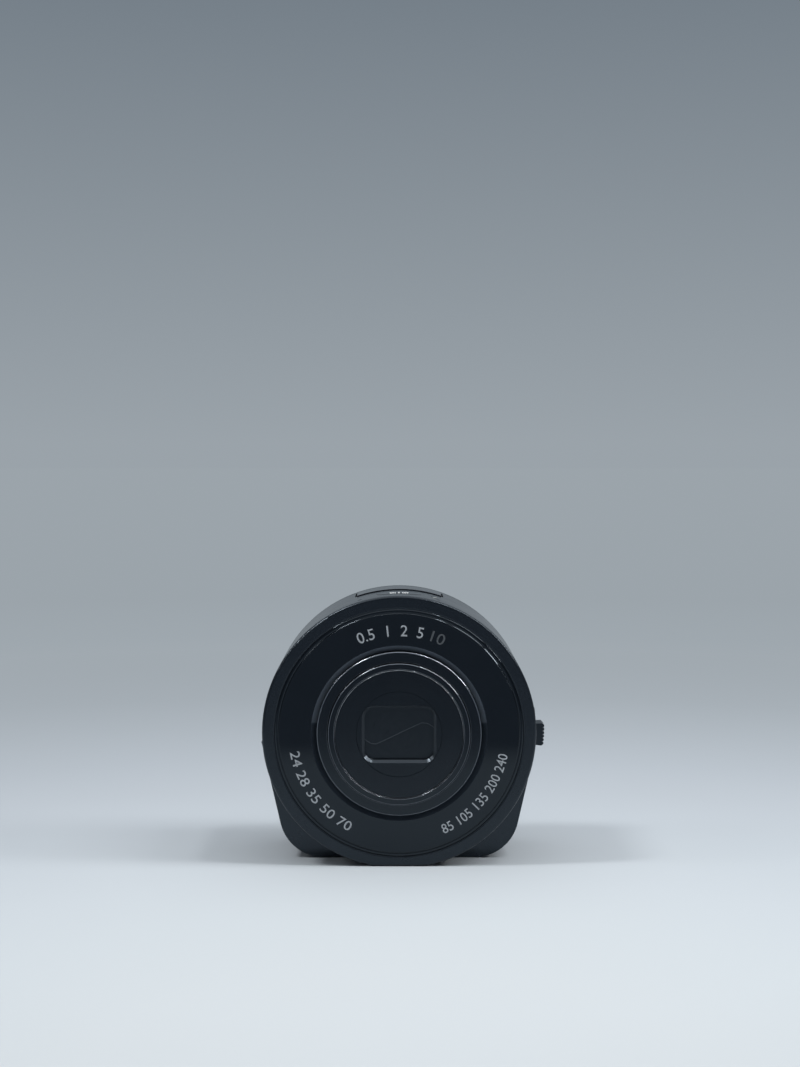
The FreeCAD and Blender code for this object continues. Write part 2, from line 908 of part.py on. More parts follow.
def screw_places():
    """Where the rear screws stand: right, top and bottom, X and Z from the lens axis."""
    middle = boss_start + d.boss_half_width
    return [(middle, 0), (0, middle), (0, -middle)]


def add_bosses(body):
    w = d.boss_half_width
    far = bore + d.housing_wall / 2
    for x0, x1, z0, z1 in (
        (boss_start, far, -w, w),
        (-w, w, boss_start, far),
        (-w, w, -far, -boss_start),
    ):
        pad_y(body, board_front, cover_front, draw_box, x0, x1, z0, z1)
    for x, z in screw_places():
        start = cover_front - d.screw_length
        pocket_y(body, start, cover_front, draw_circle, x, z, d.screw_radius + d.screw_gap)


def make_main_housing():
    body = new_body("main_housing")
    add_foot(body)
    pad_y(body, bezel_back, cover_front, draw_circle, 0, 0, d.housing_radius)
    add_flat(body, bezel_back, cover_front)
    pocket_y(body, bezel_back, cover_front, draw_floor_circle, bore, floor_level)
    lip = bore + d.lip_height + d.glue_gap
    lip_back = bezel_back + d.lip_depth + d.glue_gap
    lip_level = floor_level - d.lip_height - d.glue_gap
    pocket_y(body, bezel_back, lip_back, draw_floor_circle, lip, lip_level)
    ledge = bore - d.ledge_width
    far = bore + d.housing_wall / 2
    ring(body, [(ledge, plate_back), (far, plate_back), (far, board_front), (ledge, board_front)])
    add_bosses(body)
    cut_flat_below(body)
    cut_top_openings(body)
    cut_right_openings(body)
    cut_left_openings(body)
    bottom = -d.axis_height
    corner = d.socket_corner + d.glue_gap
    hole = d.socket_half_width + d.glue_gap
    socket = (-hole, hole, -hole, hole, corner)
    pocket_z(body, bottom, bottom + socket_height, draw_rounded_box, *socket)
    hole = d.socket_flange_half_width + d.glue_gap
    socket = (-hole, hole, -hole, hole, corner)
    flange = bottom + d.socket_flange_bottom - d.glue_gap
    pocket_z(body, flange, bottom + socket_height, draw_rounded_box, *socket)
    for angle in plate_screw_angles():
        x, z = on_circle(plate_screw_circle, angle)
        pocket_y(body, plate_back, board_front, draw_circle, x, z, d.screw_radius + d.screw_gap)
    return node(body)


def cut_top_openings(body):
    inside = bore - d.housing_wall * 2
    outside = d.housing_radius + d.housing_wall
    half_x = d.power_button_half_length + d.button_gap
    half_y = d.power_button_half_width + d.button_gap
    corner = d.power_button_half_width - d.button_gap
    y = d.power_button_depth
    outline = (-half_x, half_x, y - half_y, y + half_y, corner)
    pocket_z(body, inside, outside, draw_rounded_box, *outline)
    lamp_hole = d.lamp_radius + d.glue_gap
    lamp_x, _ = lamp_place()
    pocket_z(body, inside, outside, draw_circle, lamp_x, y, lamp_hole)
    for side in (-1, 1):
        x = side * d.microphone_offset
        pocket_z(body, inside, outside, draw_circle, x, d.microphone_depth, d.microphone_hole)
    recess = d.housing_radius - d.top_plate_thickness
    y1 = d.top_plate_front + d.top_plate_length
    top_sector(body, "Groove", d.top_plate_front, y1, recess, outside, d.top_plate_angle)


def cut_right_openings(body):
    track_front = d.lever_front - d.lever_gap * 2
    track_back = d.lever_front + d.lever_width + d.lever_gap * 2
    outside = d.housing_radius + d.housing_wall * 2
    track = [
        (d.housing_radius, track_front),
        (outside, track_front),
        (outside, track_back),
        (d.housing_radius, track_back),
    ]
    ring(body, track, "Groove", d.lever_angle + d.lever_swing * 2 + d.lever_neck_angle * 2)
    middle = d.lever_front + d.lever_width / 2
    half_y = d.lever_neck_width / 2 + d.lever_gap
    half_z = d.housing_radius * sine(d.lever_neck_angle / 2 + d.lever_swing) + d.lever_gap
    inside = bore - d.housing_wall
    pocket_x(body, inside, outside, draw_box, middle - half_y, middle + half_y, -half_z, half_z)
    y = d.shutter_button_depth
    hole = d.shutter_button_radius + d.button_gap
    pocket_x(body, inside, outside, draw_circle, y, 0, hole)
    clearance = hole + d.button_flange_width + d.button_gap
    pocket_x(body, inside - d.housing_wall, bore - d.button_gap, draw_circle, y, 0, clearance)


def cut_left_openings(body):
    gap = d.glue_gap
    outside = -d.housing_radius - d.housing_wall
    y0 = d.display_front
    y1 = y0 + d.display_length
    z0 = d.display_bottom
    z1 = z0 + d.display_height
    seat = -display_face + d.display_glass + gap
    outline = (y0 - gap, y1 + gap, z0 - gap, z1 + gap)
    pocket_x(body, outside, seat, draw_box, *outline)
    frame = d.display_frame
    view = (y0 + frame, y1 - frame, z0 + frame, z1 - frame)
    pocket_x(body, outside, -bore + d.housing_wall, draw_box, *view)
    z = -d.usb_drop
    half = d.usb_half_length + gap
    usb = (board_back - gap, board_back + d.usb_thickness + gap, z - half, z + half)
    pocket_x(body, outside, -usb_mouth + d.usb_depth + gap, draw_box, *usb)
    w = d.strap_slot_half_width
    slot = (d.strap_depth - w, d.strap_depth + w, -d.strap_drop - w, -d.strap_drop + w)
    slot_floor = d.strap_slot_depth - d.housing_radius
    pocket_x(body, outside, slot_floor, draw_box, *slot)
    reach = d.strap_half_height
    bar = (-strap_bar_distance, d.strap_depth, d.strap_bar_radius + d.pin_gap)
    pocket_z(body, -d.strap_drop - reach, -d.strap_drop + reach, draw_circle, *bar)


def make_rear_cover():
    body = new_body("rear_cover")
    disc = pad_y(body, cover_front, rear, draw_circle, 0, 0, d.housing_radius)
    finish_edges(
        body,
        "Fillet",
        disc,
        lambda edge, middle: is_circle(edge, d.housing_radius) and near(middle.y, rear),
        d.rear_rounding,
    )
    cut_flat_below(body)
    recess = door_radius + d.door_side_gap
    beyond = rear + d.rear_cover_depth
    pocket_y(body, door_floor, beyond, draw_cut_circle, recess, d.door_edge + d.door_swing_gap)
    add_flat(body, cover_front, rear - d.rear_rounding)
    half_x = d.battery_half_width + d.battery_side_gap + d.tray_wall + d.glue_gap
    half_z = d.battery_half_height + d.battery_side_gap + d.tray_wall + d.glue_gap
    corner = d.battery_rounding + d.glue_gap
    opening = (-half_x, half_x, -half_z, half_z, corner)
    pocket_y(body, cover_front, beyond, draw_rounded_box, *opening)
    room = d.hinge_radius + d.hinge_clearance
    hinge_y = rear - d.hinge_inset
    hinge_x0 = -d.hinge_distance - room
    hinge_x1 = -d.door_edge
    length = d.hinge_half_length + d.hinge_clearance
    pocket_y(body, hinge_y - room, beyond, draw_box, hinge_x0, hinge_x1, -length, length)
    start = d.knuckle_half_length + d.hinge_clearance
    for z0, z1 in ((start, length), (-length, -start)):
        pad_z(body, z0, z1, draw_circle, -d.hinge_distance, hinge_y, d.hinge_radius)
        web = (hinge_x0, -d.door_edge - d.hinge_clearance, hinge_y - room, hinge_y)
        pad_z(body, z0, z1, draw_box, *web)
    pin_hole = d.pin_radius + d.pin_gap
    pin = (-d.hinge_distance, hinge_y, pin_hole)
    pocket_z(body, -length, length, draw_circle, *pin)
    notch = (d.housing_radius, 0, d.notch_radius)
    pocket_y(body, door_inside + d.door_side_gap, beyond, draw_circle, *notch)
    for x, z in screw_places():
        head_room = d.screw_head_radius + d.hinge_clearance
        head_seat = door_floor - d.screw_head_depth - d.button_gap
        pocket_y(body, head_seat, beyond, draw_circle, x, z, head_room)
        pocket_y(body, cover_front, beyond, draw_circle, x, z, d.screw_radius + d.screw_gap)
    return node(body)


def make_battery_cover():
    body = new_body("battery_cover")
    plate = pad_y(body, door_inside, rear, draw_cut_circle, door_radius, d.door_edge)
    corners = finish_edges(
        body,
        "Fillet",
        plate,
        lambda edge, middle: near(middle.x, -d.door_edge) and near(middle.y, (door_inside + rear) / 2),
        d.door_corner,
    )
    finish_edges(
        body,
        "Fillet",
        corners,
        lambda edge, middle: is_circle(edge, door_radius) and near(middle.y, rear),
        d.door_rounding,
    )
    cut_flat_below(body, floor_level + d.door_side_gap)
    k = d.knuckle_half_length
    hinge_y = rear - d.hinge_inset
    pad_y(body, door_inside, rear, draw_box, -d.hinge_distance, -d.door_edge + d.hinge_radius, -k, k)
    pad_z(body, -k, k, draw_circle, -d.hinge_distance, hinge_y, d.hinge_radius)
    pocket_z(body, -k, k, draw_circle, -d.hinge_distance, hinge_y, d.pin_radius + d.pin_gap)
    half = d.door_pad_half_width
    pad_front = battery_back + d.glue_gap
    pad_y(body, pad_front, rear - d.door_thickness / 2, draw_box, -half, half, -half, half)
    return node(body)


def make_hinge_pin():
    hinge_y = rear - d.hinge_inset
    reach = d.hinge_half_length
    return node(rod_z("hinge_pin", -d.hinge_distance, hinge_y, d.pin_radius, -reach, reach))


def make_top_plate():
    body = new_body("top_plate")
    gap = d.top_plate_gap
    y0 = d.top_plate_front + gap
    y1 = d.top_plate_front + d.top_plate_length - gap
    inner = d.housing_radius - d.top_plate_thickness
    crown = d.housing_radius + d.top_plate_proud
    angle = d.top_plate_angle - d.top_plate_slack
    solid = top_sector(body, "Revolution", y0, y1, inner, crown, angle)
    finish_edges(
        body,
        "Chamfer",
        solid,
        lambda edge, middle: near(middle.y, (y0 + y1) / 2)
        and near(math.hypot(middle.x, middle.z), crown),
        d.top_plate_bevel,
    )
    return node(body)


# Barrels and barrier


def make_fixed_barrel():
    body = new_body("fixed_barrel")
    inner = barrel_bore_radius
    back = d.plate_front
    shoulder = back - d.barrel_flange_thickness
    profile = [
        (inner, panel_back + d.barrel_gap),
        (fixed_barrel_radius, panel_back + d.barrel_gap),
        (fixed_barrel_radius, shoulder),
        (barrel_flange_radius, shoulder),
        (barrel_flange_radius, back),
        (inner, back),
    ]
    ring(body, profile)
    for angle in lens_screw_angles():
        x, z = on_circle(lens_screw_circle, angle)
        pocket_y(body, shoulder, back, draw_circle, x, z, d.screw_radius + d.screw_gap)
    return node(body)


def make_outer_barrel():
    body = new_body("outer_barrel")
    face = front + d.outer_barrel_setback
    back = face + d.outer_barrel_length
    radius = outer_barrel_radius
    inner = radius - d.outer_barrel_wall
    lip = d.inner_barrel_radius + d.barrel_gap
    foot_radius = barrel_bore_radius - d.barrel_gap / 2
    profile = [
        (lip, face),
        (radius, face),
        (radius, back - d.barrel_foot_width),
        (foot_radius, back - d.barrel_foot_width),
        (foot_radius, back),
        (inner, back),
        (inner, face + d.outer_lip_thickness),
        (lip, face + d.outer_lip_thickness),
    ]
    turned = ring(body, profile)
    rounded = finish_edges(
        body,
        "Fillet",
        turned,
        lambda edge, middle: is_circle(edge, radius) and near(middle.y, face),
        d.outer_barrel_edge,
    )
    finish_edges(
        body,
        "Fillet",
        rounded,
        lambda edge, middle: is_circle(edge, lip) and near(middle.y, face),
        d.inner_barrel_edge,
    )
    return node(body)


def make_inner_barrel():
    body = new_body("inner_barrel")
    back = front + d.inner_barrel_length
    radius = d.inner_barrel_radius
    foot_radius = outer_barrel_radius - d.outer_barrel_wall - d.barrel_gap / 2
    profile = [
        (inner_barrel_bore, front),
        (radius, front),
        (radius, back - d.barrel_foot_width),
        (foot_radius, back - d.barrel_foot_width),
        (foot_radius, back),
        (inner_barrel_bore, back),
    ]
    turned = ring(body, profile)
    finish_edges(
        body,
        "Fillet",
        turned,
        lambda edge, middle: hasattr(edge.Curve, "Radius") and near(middle.y, front),
        d.inner_barrel_edge,
    )
    return node(body)


def window_outline(extra=0):
    """The barrier's window, or one larger by the same width all round."""
    half_x = d.window_half_width + extra
    half_z = d.window_half_height + extra
    return (-half_x, half_x, -half_z, half_z, d.window_rounding + extra)


def make_barrier_cover():
    body = new_body("barrier_cover")
    radius = inner_barrel_bore - d.glue_gap * 2
    pad_y(body, cover_face, cover_back, draw_circle, 0, 0, radius)
    half = d.cover_groove_width / 2
    groove_radius = d.cover_groove_radius
    groove = [
        (groove_radius - half, cover_face - half),
        (groove_radius + half, cover_face - half),
        (groove_radius, cover_face + d.cover_groove_depth),
    ]
    ring(body, groove, "Groove")
    window = pocket_y(body, cover_face, cover_back, draw_rounded_box, *window_outline())

    def on_window(edge):
        """True for an edge that runs along the window, whose ends lie inside its corners."""
        ends = [vertex.Point for vertex in edge.Vertexes]
        inside_x = all(abs(end.x) < d.window_half_width.number + 0.01 for end in ends)
        inside_z = all(abs(end.z) < d.window_half_height.number + 0.01 for end in ends)
        return inside_x and inside_z and not is_circle(edge, groove_radius)

    finish_edges(
        body,
        "Chamfer",
        window,
        lambda edge, middle: near(middle.y, cover_face) and on_window(edge),
        d.window_bevel,
    )
    return node(body)


# Right half of the blades' seam from its end to its middle, in shares of the window's half sizes
blade_seam = ((1.0, 0.22), (0.97, 0.27), (0.82, 0.39), (0.66, 0.41), (0.51, 0.32), (0.06, 0.04))


def blade_outline(side):
    """Outline of a barrier blade, shut. The S-shaped edge is where the two blades meet."""
    w = d.window_half_width
    height = d.window_half_height
    over = d.blade_overlap
    corner = d.blade_corner
    pivot = blade_pivot_radius
    inside_boss = d.blade_boss_radius - d.blade_hole_gap
    right = [(w * across, height * up) for across, up in blade_seam]
    left = [(-x, -z) for x, z in reversed(right)]
    right[0] = (w + over, right[0][1])
    left[-1] = (-w - over, left[-1][1])
    start_x, start_z = on_circle(inside_boss, d.blade_arm_start)
    end_x, end_z = on_circle(inside_boss, d.blade_arm_end)
    back = [
        (-w - over, height - corner),
        (-w + over, height - over),
        (-w + corner, height + over),
        (w - d.blade_shoulder, height + over),
        (pivot - d.blade_arm_length, height - d.blade_arm_drop),
        (pivot + start_x, start_z),
        (pivot + end_x, end_z),
    ]
    return [(side * x, side * z) for x, z in right + left + back]


def make_blade(label, side, y0):
    """side is 1 for the upper blade, which turns about a pin on the right, and -1 for the lower."""
    body = new_body(label)
    y1 = y0 + d.blade_thickness
    pivot = side * blade_pivot_radius
    pad_y(body, y0, y1, draw_polygon, blade_outline(side))
    pad_y(body, y0, y1, draw_circle, pivot, 0, d.blade_boss_radius)
    hole = d.blade_pin_radius + d.blade_hole_gap
    pocket_y(body, y0, y1, draw_circle, pivot, 0, hole)
    return node(body)


def make_barrier_base():
    body = new_body("barrier_base")
    radius = inner_barrel_bore - d.glue_gap
    pad_y(body, barrier_base_front, barrier_base_back, draw_circle, 0, 0, radius)
    for side in (-1, 1):
        pin = (side * blade_pivot_radius, 0, d.blade_pin_radius)
        pad_y(body, cover_back, barrier_base_front, draw_circle, *pin)
    window = window_outline(d.blade_overlap)
    pocket_y(body, barrier_base_front, barrier_base_back, draw_rounded_box, *window)
    return node(body)


# Lens groups


def draw_lens(sketch, radius, y0, y1, sag0, sag1):
    """Half of a lens section: two faces curved about the lens axis, bulging by their sags."""
    apex0 = (0, y0)
    rim0 = (radius, y0 + sag0)
    rim1 = (radius, y1 - sag1)
    apex1 = (0, y1)
    edge = sketch.addGeometry(Part.LineSegment(vector(*rim0), vector(*rim1)))
    axis = sketch.addGeometry(Part.LineSegment(vector(*apex1), vector(*apex0)))
    fix_point(sketch, edge, 1, *rim0)
    fix_point(sketch, edge, 2, *rim1)
    fix_point(sketch, axis, 1, *apex1)
    fix_point(sketch, axis, 2, *apex0)
    for apex, axis_end, rim, edge_end in ((apex0, 2, rim0, 1), (apex1, 1, rim1, 2)):
        across = vector(*rim).x
        sag = vector(*rim).y - vector(*apex).y
        curvature_radius = (across**2 + sag**2) / (2 * sag)
        centre = Vector(0, vector(*apex).y + curvature_radius, 0)
        circle = Part.Circle(centre, Vector(0, 0, 1), abs(curvature_radius))
        start = circle.parameter(vector(*apex))
        end = circle.parameter(vector(*rim))
        swapped = (end - start) % (2 * math.pi) > math.pi
        if swapped:
            start, end = end, start
        arc = sketch.addGeometry(Part.ArcOfCircle(circle, start, end))
        at_apex, at_rim = (2, 1) if swapped else (1, 2)
        sketch.addConstraint(Sketcher.Constraint("Coincident", arc, at_apex, axis, axis_end))
        sketch.addConstraint(Sketcher.Constraint("Coincident", arc, at_rim, edge, edge_end))
        sketch.addConstraint(Sketcher.Constraint("PointOnObject", arc, 3, -2))


def make_lens(label, radius, y0, y1, sag0, sag1):
    body = new_body(label)
    sketch = new_sketch(body, "XY_Plane")
    draw_lens(sketch, radius, y0, y1, sag0, sag1)
    turn_profile(body, "Revolution", sketch, "V_Axis")
    return node(body)


def make_front_group():
    make_lens(
        "front_lens",
        d.front_lens_radius,
        front_lens_front,
        front_lens_back,
        d.front_lens_sag,
        -d.front_lens_back_sag,
    )
    body = new_body("front_lens_holder")
    seat = d.front_lens_radius + d.lens_seat_gap
    lip = d.front_lens_radius - d.lens_seat_lip
    outer = inner_barrel_bore - d.glue_gap
    lip_front = front_lens_rim + d.lens_seat_gap
    profile = [
        (seat, barrier_base_back),
        (outer, barrier_base_back),
        (outer, front_holder_back),
        (lip, front_holder_back),
        (lip, lip_front),
        (seat, lip_front),
    ]
    ring(body, profile)
    return node(body)


def make_zoom_group():
    lens_front = zoom_front + d.zoom_lens_inset
    lens_back = lens_front + d.zoom_lens_depth
    rear_front = lens_back + d.zoom_lens_space
    make_lens(
        "zoom_front_lens",
        d.zoom_lens_radius,
        lens_front,
        lens_back,
        d.zoom_lens_sag,
        d.zoom_lens_back_sag,
    )
    make_lens(
        "zoom_rear_lens",
        d.zoom_lens_radius,
        rear_front,
        rear_front + d.zoom_rear_lens_depth,
        d.zoom_lens_back_sag,
        -d.zoom_lens_back_sag,
    )
    body = new_body("zoom_lens_holder")
    seat = d.zoom_lens_radius + d.lens_seat_gap
    profile = [
        (seat, zoom_front),
        (d.zoom_group_radius, zoom_front),
        (d.zoom_group_radius, zoom_back),
        (d.zoom_lens_radius - d.lens_seat_lip, zoom_back),
        (d.zoom_lens_radius - d.lens_seat_lip, zoom_back - d.lens_seat_thickness / 2),
        (seat, zoom_back - d.lens_seat_thickness / 2),
    ]
    ring(body, profile)
    ear_front = zoom_back - d.zoom_ear_depth
    ear_outer = inner_barrel_bore - d.barrel_gap
    ear_inner = d.zoom_group_radius - d.lens_seat_lip
    ear = ring(
        body,
        [
            (ear_inner, ear_front),
            (ear_outer, ear_front),
            (ear_outer, zoom_back),
            (ear_inner, zoom_back),
        ],
        "Revolution",
        d.zoom_ear_angle,
    )
    ears = body.newObject("PartDesign::PolarPattern", "zoom_ears")
    ears.Originals = [ear]
    ears.Axis = (origin_feature(body, "Y_Axis"), [""])
    ears.Angle = 360
    ears.Occurrences = 3
    body.Tip = ears
    node(body)
    shutter = new_body("shutter_unit")
    profile = [
        (d.shutter_aperture, zoom_back),
        (d.zoom_group_radius, zoom_back),
        (d.zoom_group_radius, shutter_back),
        (d.shutter_aperture, shutter_back),
    ]
    ring(shutter, profile)
    node(shutter)


def make_focus_group():
    lens_front = focus_front + (d.focus_depth - d.focus_lens_depth) / 2
    make_lens(
        "focus_lens",
        d.focus_lens_radius,
        lens_front,
        lens_front + d.focus_lens_depth,
        d.focus_lens_sag,
        d.focus_lens_sag,
    )
    body = new_body("focus_lens_holder")
    seat = d.focus_lens_radius + d.lens_seat_gap
    profile = [
        (seat, focus_front),
        (d.focus_ring_radius, focus_front),
        (d.focus_ring_radius, focus_back),
        (seat, focus_back),
    ]
    ring(body, profile)
    half = d.focus_arm_width / 2
    inner = (seat + d.focus_ring_radius) / 2
    outer = d.rod_distance + half
    for x0, x1 in ((inner, outer), (-outer, -inner)):
        pad_y(body, focus_front, focus_back, draw_box, x0, x1, -half, half)
    for side in (-1, 1):
        rod_hole = (side * d.rod_distance, 0, d.rod_radius + d.rod_gap)
        pocket_y(body, focus_front, focus_back, draw_circle, *rod_hole)
    nut_back = focus_front + d.nut_thickness
    arm = (-half, half, -lead_screw_distance - half, -inner)
    pad_y(body, focus_front, nut_back, draw_box, *arm)
    nut_hole = (0, -lead_screw_distance, d.lead_screw_radius + d.rod_gap)
    pocket_y(body, focus_front, nut_back, draw_circle, *nut_hole)
    node(body)
    rod_front = shutter_back + d.focus_clearance / 2
    rods = []
    for side, label in ((-1, "left_guide_rod"), (1, "right_guide_rod")):
        x = side * d.rod_distance
        rods.append(rod_y(label, x, 0, d.rod_radius, rod_front, d.plate_front))
    node(group("guide_rods", rods))
    motor_front = nut_back + d.focus_motor_gap
    bore_back = motor_front + d.nut_thickness
    screw_radius = d.lead_screw_radius
    z = -lead_screw_distance
    node(rod_y("lead_screw", 0, z, screw_radius, rod_front, bore_back - d.rod_gap))
    shell = rod_y("focus_motor_shell", 0, z, d.focus_motor_radius, motor_front, d.plate_front)
    hole = rod_y("focus_motor_bore", 0, z, screw_radius + d.rod_gap, motor_front, bore_back)
    node(cut("focus_motor", shell, hole))


# Sensor, boards and the plate behind the lens unit


def lens_screw_angles():
    return (60, 180, 300)


def plate_screw_angles():
    return (40, 160, 230)


def make_lens_plate():
    body = new_body("lens_plate")
    radius = bore - d.plate_gap
    pad_y(body, d.plate_front, plate_back, draw_floor_circle, radius, floor_level + d.plate_gap)
    half_x = d.sensor_half_width + d.sensor_gap
    half_z = d.sensor_half_height + d.sensor_gap
    pocket_y(body, d.plate_front, plate_back, draw_box, -half_x, half_x, -half_z, half_z)
    notch = d.socket_flange_half_width + d.plate_gap
    notch_top = -d.axis_height + d.socket_flange_bottom + d.socket_flange_thickness + d.plate_gap
    bottom = (-notch, notch, -d.axis_height - d.housing_radius, notch_top)
    pocket_y(body, d.plate_front, plate_back, draw_box, *bottom)
    flat = bore - d.ledge_width - d.button_gap
    room = d.housing_radius
    button_room = d.shutter_button_radius + d.button_flange_width + d.button_gap * 4
    pocket_y(body, d.plate_front, plate_back, draw_box, flat, room, -button_room, button_room)
    for angle in lens_screw_angles():
        x, z = on_circle(lens_screw_circle, angle)
        hole = d.screw_radius + d.screw_gap
        pocket_y(body, d.plate_front, plate_back, draw_circle, x, z, hole)
    for angle in plate_screw_angles():
        x, z = on_circle(plate_screw_circle, angle)
        hole = d.screw_radius + d.screw_gap
        pocket_y(body, d.plate_front, plate_back, draw_circle, x, z, hole)
    return node(body)


def make_sensor():
    half_x = d.filter_frame_half_width
    half_z = d.filter_frame_half_height
    y0 = d.plate_front - d.filter_frame_depth
    seat = y0 + d.filter_thickness
    body = new_body("filter_frame")
    pad_y(body, y0, d.plate_front, draw_box, -half_x, half_x, -half_z, half_z)
    filter_x = half_x - d.lens_seat_lip
    filter_z = half_z - d.lens_seat_lip
    pocket_y(body, y0, seat, draw_box, -filter_x, filter_x, -filter_z, filter_z)
    open_x = filter_x - d.lens_seat_lip
    open_z = filter_z - d.lens_seat_lip
    pocket_y(body, seat, d.plate_front, draw_box, -open_x, open_x, -open_z, open_z)
    node(body)
    x = filter_x - d.glue_gap
    z = filter_z - d.glue_gap
    node(block("infrared_filter", -x, x, y0, seat, -z, z))
    x = d.sensor_half_width
    z = d.sensor_half_height
    node(block("image_sensor", -x, x, plate_back - d.sensor_thickness, plate_back, -z, z))
    x = d.sensor_board_half_width
    z = d.sensor_board_half_height
    board_rear = plate_back + d.sensor_board_thickness
    node(block("sensor_board", -x, x, plate_back, board_rear, -z, z))


def make_main_board():
    body = new_body("main_board")
    radius = bore - d.board_gap
    pad_y(body, board_front, board_back, draw_floor_circle, radius, floor_level + d.plate_gap)
    w = d.boss_half_width + d.plate_gap
    near_side = boss_start - d.plate_gap
    far = d.housing_radius
    for x0, x1, z0, z1 in (
        (near_side, far, -w, w),
        (-w, w, near_side, far),
        (-w, w, -far, -near_side),
    ):
        pocket_y(body, board_front, board_back, draw_box, x0, x1, z0, z1)
    return node(body)


def make_board_chips():
    y0 = board_front - d.chip_thickness
    chips = []
    for label, x, z, half in (
        ("image_processor_chip", processor_x, processor_z, d.processor_half_width),
        ("memory_chip", d.memory_x, d.memory_z, d.memory_half_width),
        ("power_chip", d.power_chip_x, d.power_chip_z, d.power_chip_half_width),
        ("audio_chip", d.audio_chip_x, d.audio_chip_z, d.audio_chip_half_width),
    ):
        chips.append(block(label, x - half, x + half, y0, board_front, z - half, z + half))
    half_x = d.wireless_half_width
    low = d.wireless_z - d.wireless_half_height
    high = d.wireless_z + d.wireless_half_height
    chips.append(block("wireless_module", -half_x, half_x, y0, board_front, low, high))
    node(group("board_chips", chips))


# Zoom drive


def involute_gear(teeth, module, half_backlash):
    """Outline points of a spur gear about its centre, one tooth after another.

    Each flank is the involute of the base circle, thinned by half the backlash, between
    the root circle and the tip circle, and a tooth is centred on angle 0.
    """
    pressure = math.radians(d.pressure_angle.number)
    pitch = module * teeth / 2
    base = pitch * math.cos(pressure)
    tip = pitch + module
    root = pitch - 1.25 * module
    start = max(base, root)

    def roll(radius):
        angle = math.acos(base / radius)
        return math.tan(angle) - angle

    half_tooth = math.pi / (2 * teeth) - half_backlash / (2 * pitch) + roll(pitch)
    steps = 5
    flank = []
    for step in range(steps + 1):
        radius = start + (tip - start) * step / steps
        flank.append((radius, half_tooth - roll(radius)))
    points = []
    for tooth in range(teeth):
        middle = 2 * math.pi * tooth / teeth
        edge = half_tooth - roll(start)
        side = [(root, -edge)] + [(radius, -angle) for radius, angle in flank]
        side += [(radius, angle) for radius, angle in reversed(flank)] + [(root, edge)]
        for radius, angle in side:
            points.append(Vector(radius * math.cos(middle + angle), 0, radius * math.sin(middle + angle)))
    return points


def gear_solid(points, y0, y1, hole):
    outline = Part.makePolygon(points + [points[0]])
    face = Part.Face(outline)
    solid = face.extrude(Vector(0, y1 - y0, 0))
    if hole > 0:
        solid = solid.cut(Part.makeCylinder(hole, y1 - y0, Vector(0, 0, 0), Vector(0, 1, 0)))
    solid.translate(Vector(0, y0, 0))
    return solid


def make_drive():
    module = d.gear_module.number
    half_backlash = d.gear_backlash.number / 2
    gear_front = d.ring_gear_front.number
    gear_back = ring_gear_back.number
    ring_points = involute_gear(int(d.ring_teeth.number), module, half_backlash)
    ring_bore = (fixed_barrel_radius + d.ring_gear_bore_gap).number
    ring_gear = document.addObject("Part::Feature", "drive_ring")
    ring_gear.Label = "drive_ring"
    ring_gear.Shape = gear_solid(ring_points, gear_front, gear_back, ring_bore)
    ring_gear.Placement.Rotation = Rotation(Vector(0, -1, 0), d.drive_angle.number)
    bind(ring_gear, "Placement.Base.z", d.axis_height)
    node(ring_gear)

    # The pinion shows a gap towards the ring gear, whose tooth points straight at it
    pinion_points = involute_gear(int(d.pinion_teeth.number), module, half_backlash)
    pinion = gear_solid(pinion_points, gear_front, gear_back, 0)
    shaft_front = bracket_front.number - 2 * d.bracket_thickness.number
    shaft_length = gear_back - shaft_front
    radius = d.motor_shaft_radius.number
    shaft = Part.makeCylinder(radius, shaft_length, Vector(0, shaft_front, 0), Vector(0, 1, 0))
    half_pitch = 180 / d.pinion_teeth.number
    turned = d.drive_angle.number + 180 + half_pitch
    pinion_node = document.addObject("Part::Feature", "drive_pinion")
    pinion_node.Label = "drive_pinion"
    pinion_node.Shape = pinion.fuse(shaft)
    pinion_node.Placement.Rotation = Rotation(Vector(0, -1, 0), turned)
    x, z = on_circle(drive_distance, d.drive_angle)
    place(pinion_node, x, 0, z)
    node(pinion_node)

    motor = new_body("zoom_motor")
    turn_body(motor, d.drive_angle)
    pad_y(motor, d.motor_front, bracket_front, draw_circle, drive_distance, 0, d.motor_radius)
    bore_radius = d.motor_shaft_radius + d.motor_shaft_gap
    bore_front = bracket_front - d.bracket_thickness * 2 - d.motor_shaft_gap
    pocket_y(motor, bore_front, bracket_front, draw_circle, drive_distance, 0, bore_radius)
    node(motor)

    bracket = new_body("motor_bracket")
    turn_body(bracket, d.drive_angle)
    inner = fixed_barrel_radius + d.glue_gap
    outer = bore - d.glue_gap
    profile = [
        (inner, bracket_front),
        (outer, bracket_front),
        (outer, bracket_back),
        (inner, bracket_back),
    ]
    ring(bracket, profile, "Revolution", d.bracket_angle)
    hole = bore_radius + d.motor_shaft_gap
    pocket_y(bracket, bracket_front, bracket_back, draw_circle, drive_distance, 0, hole)
    node(bracket)


# Controls


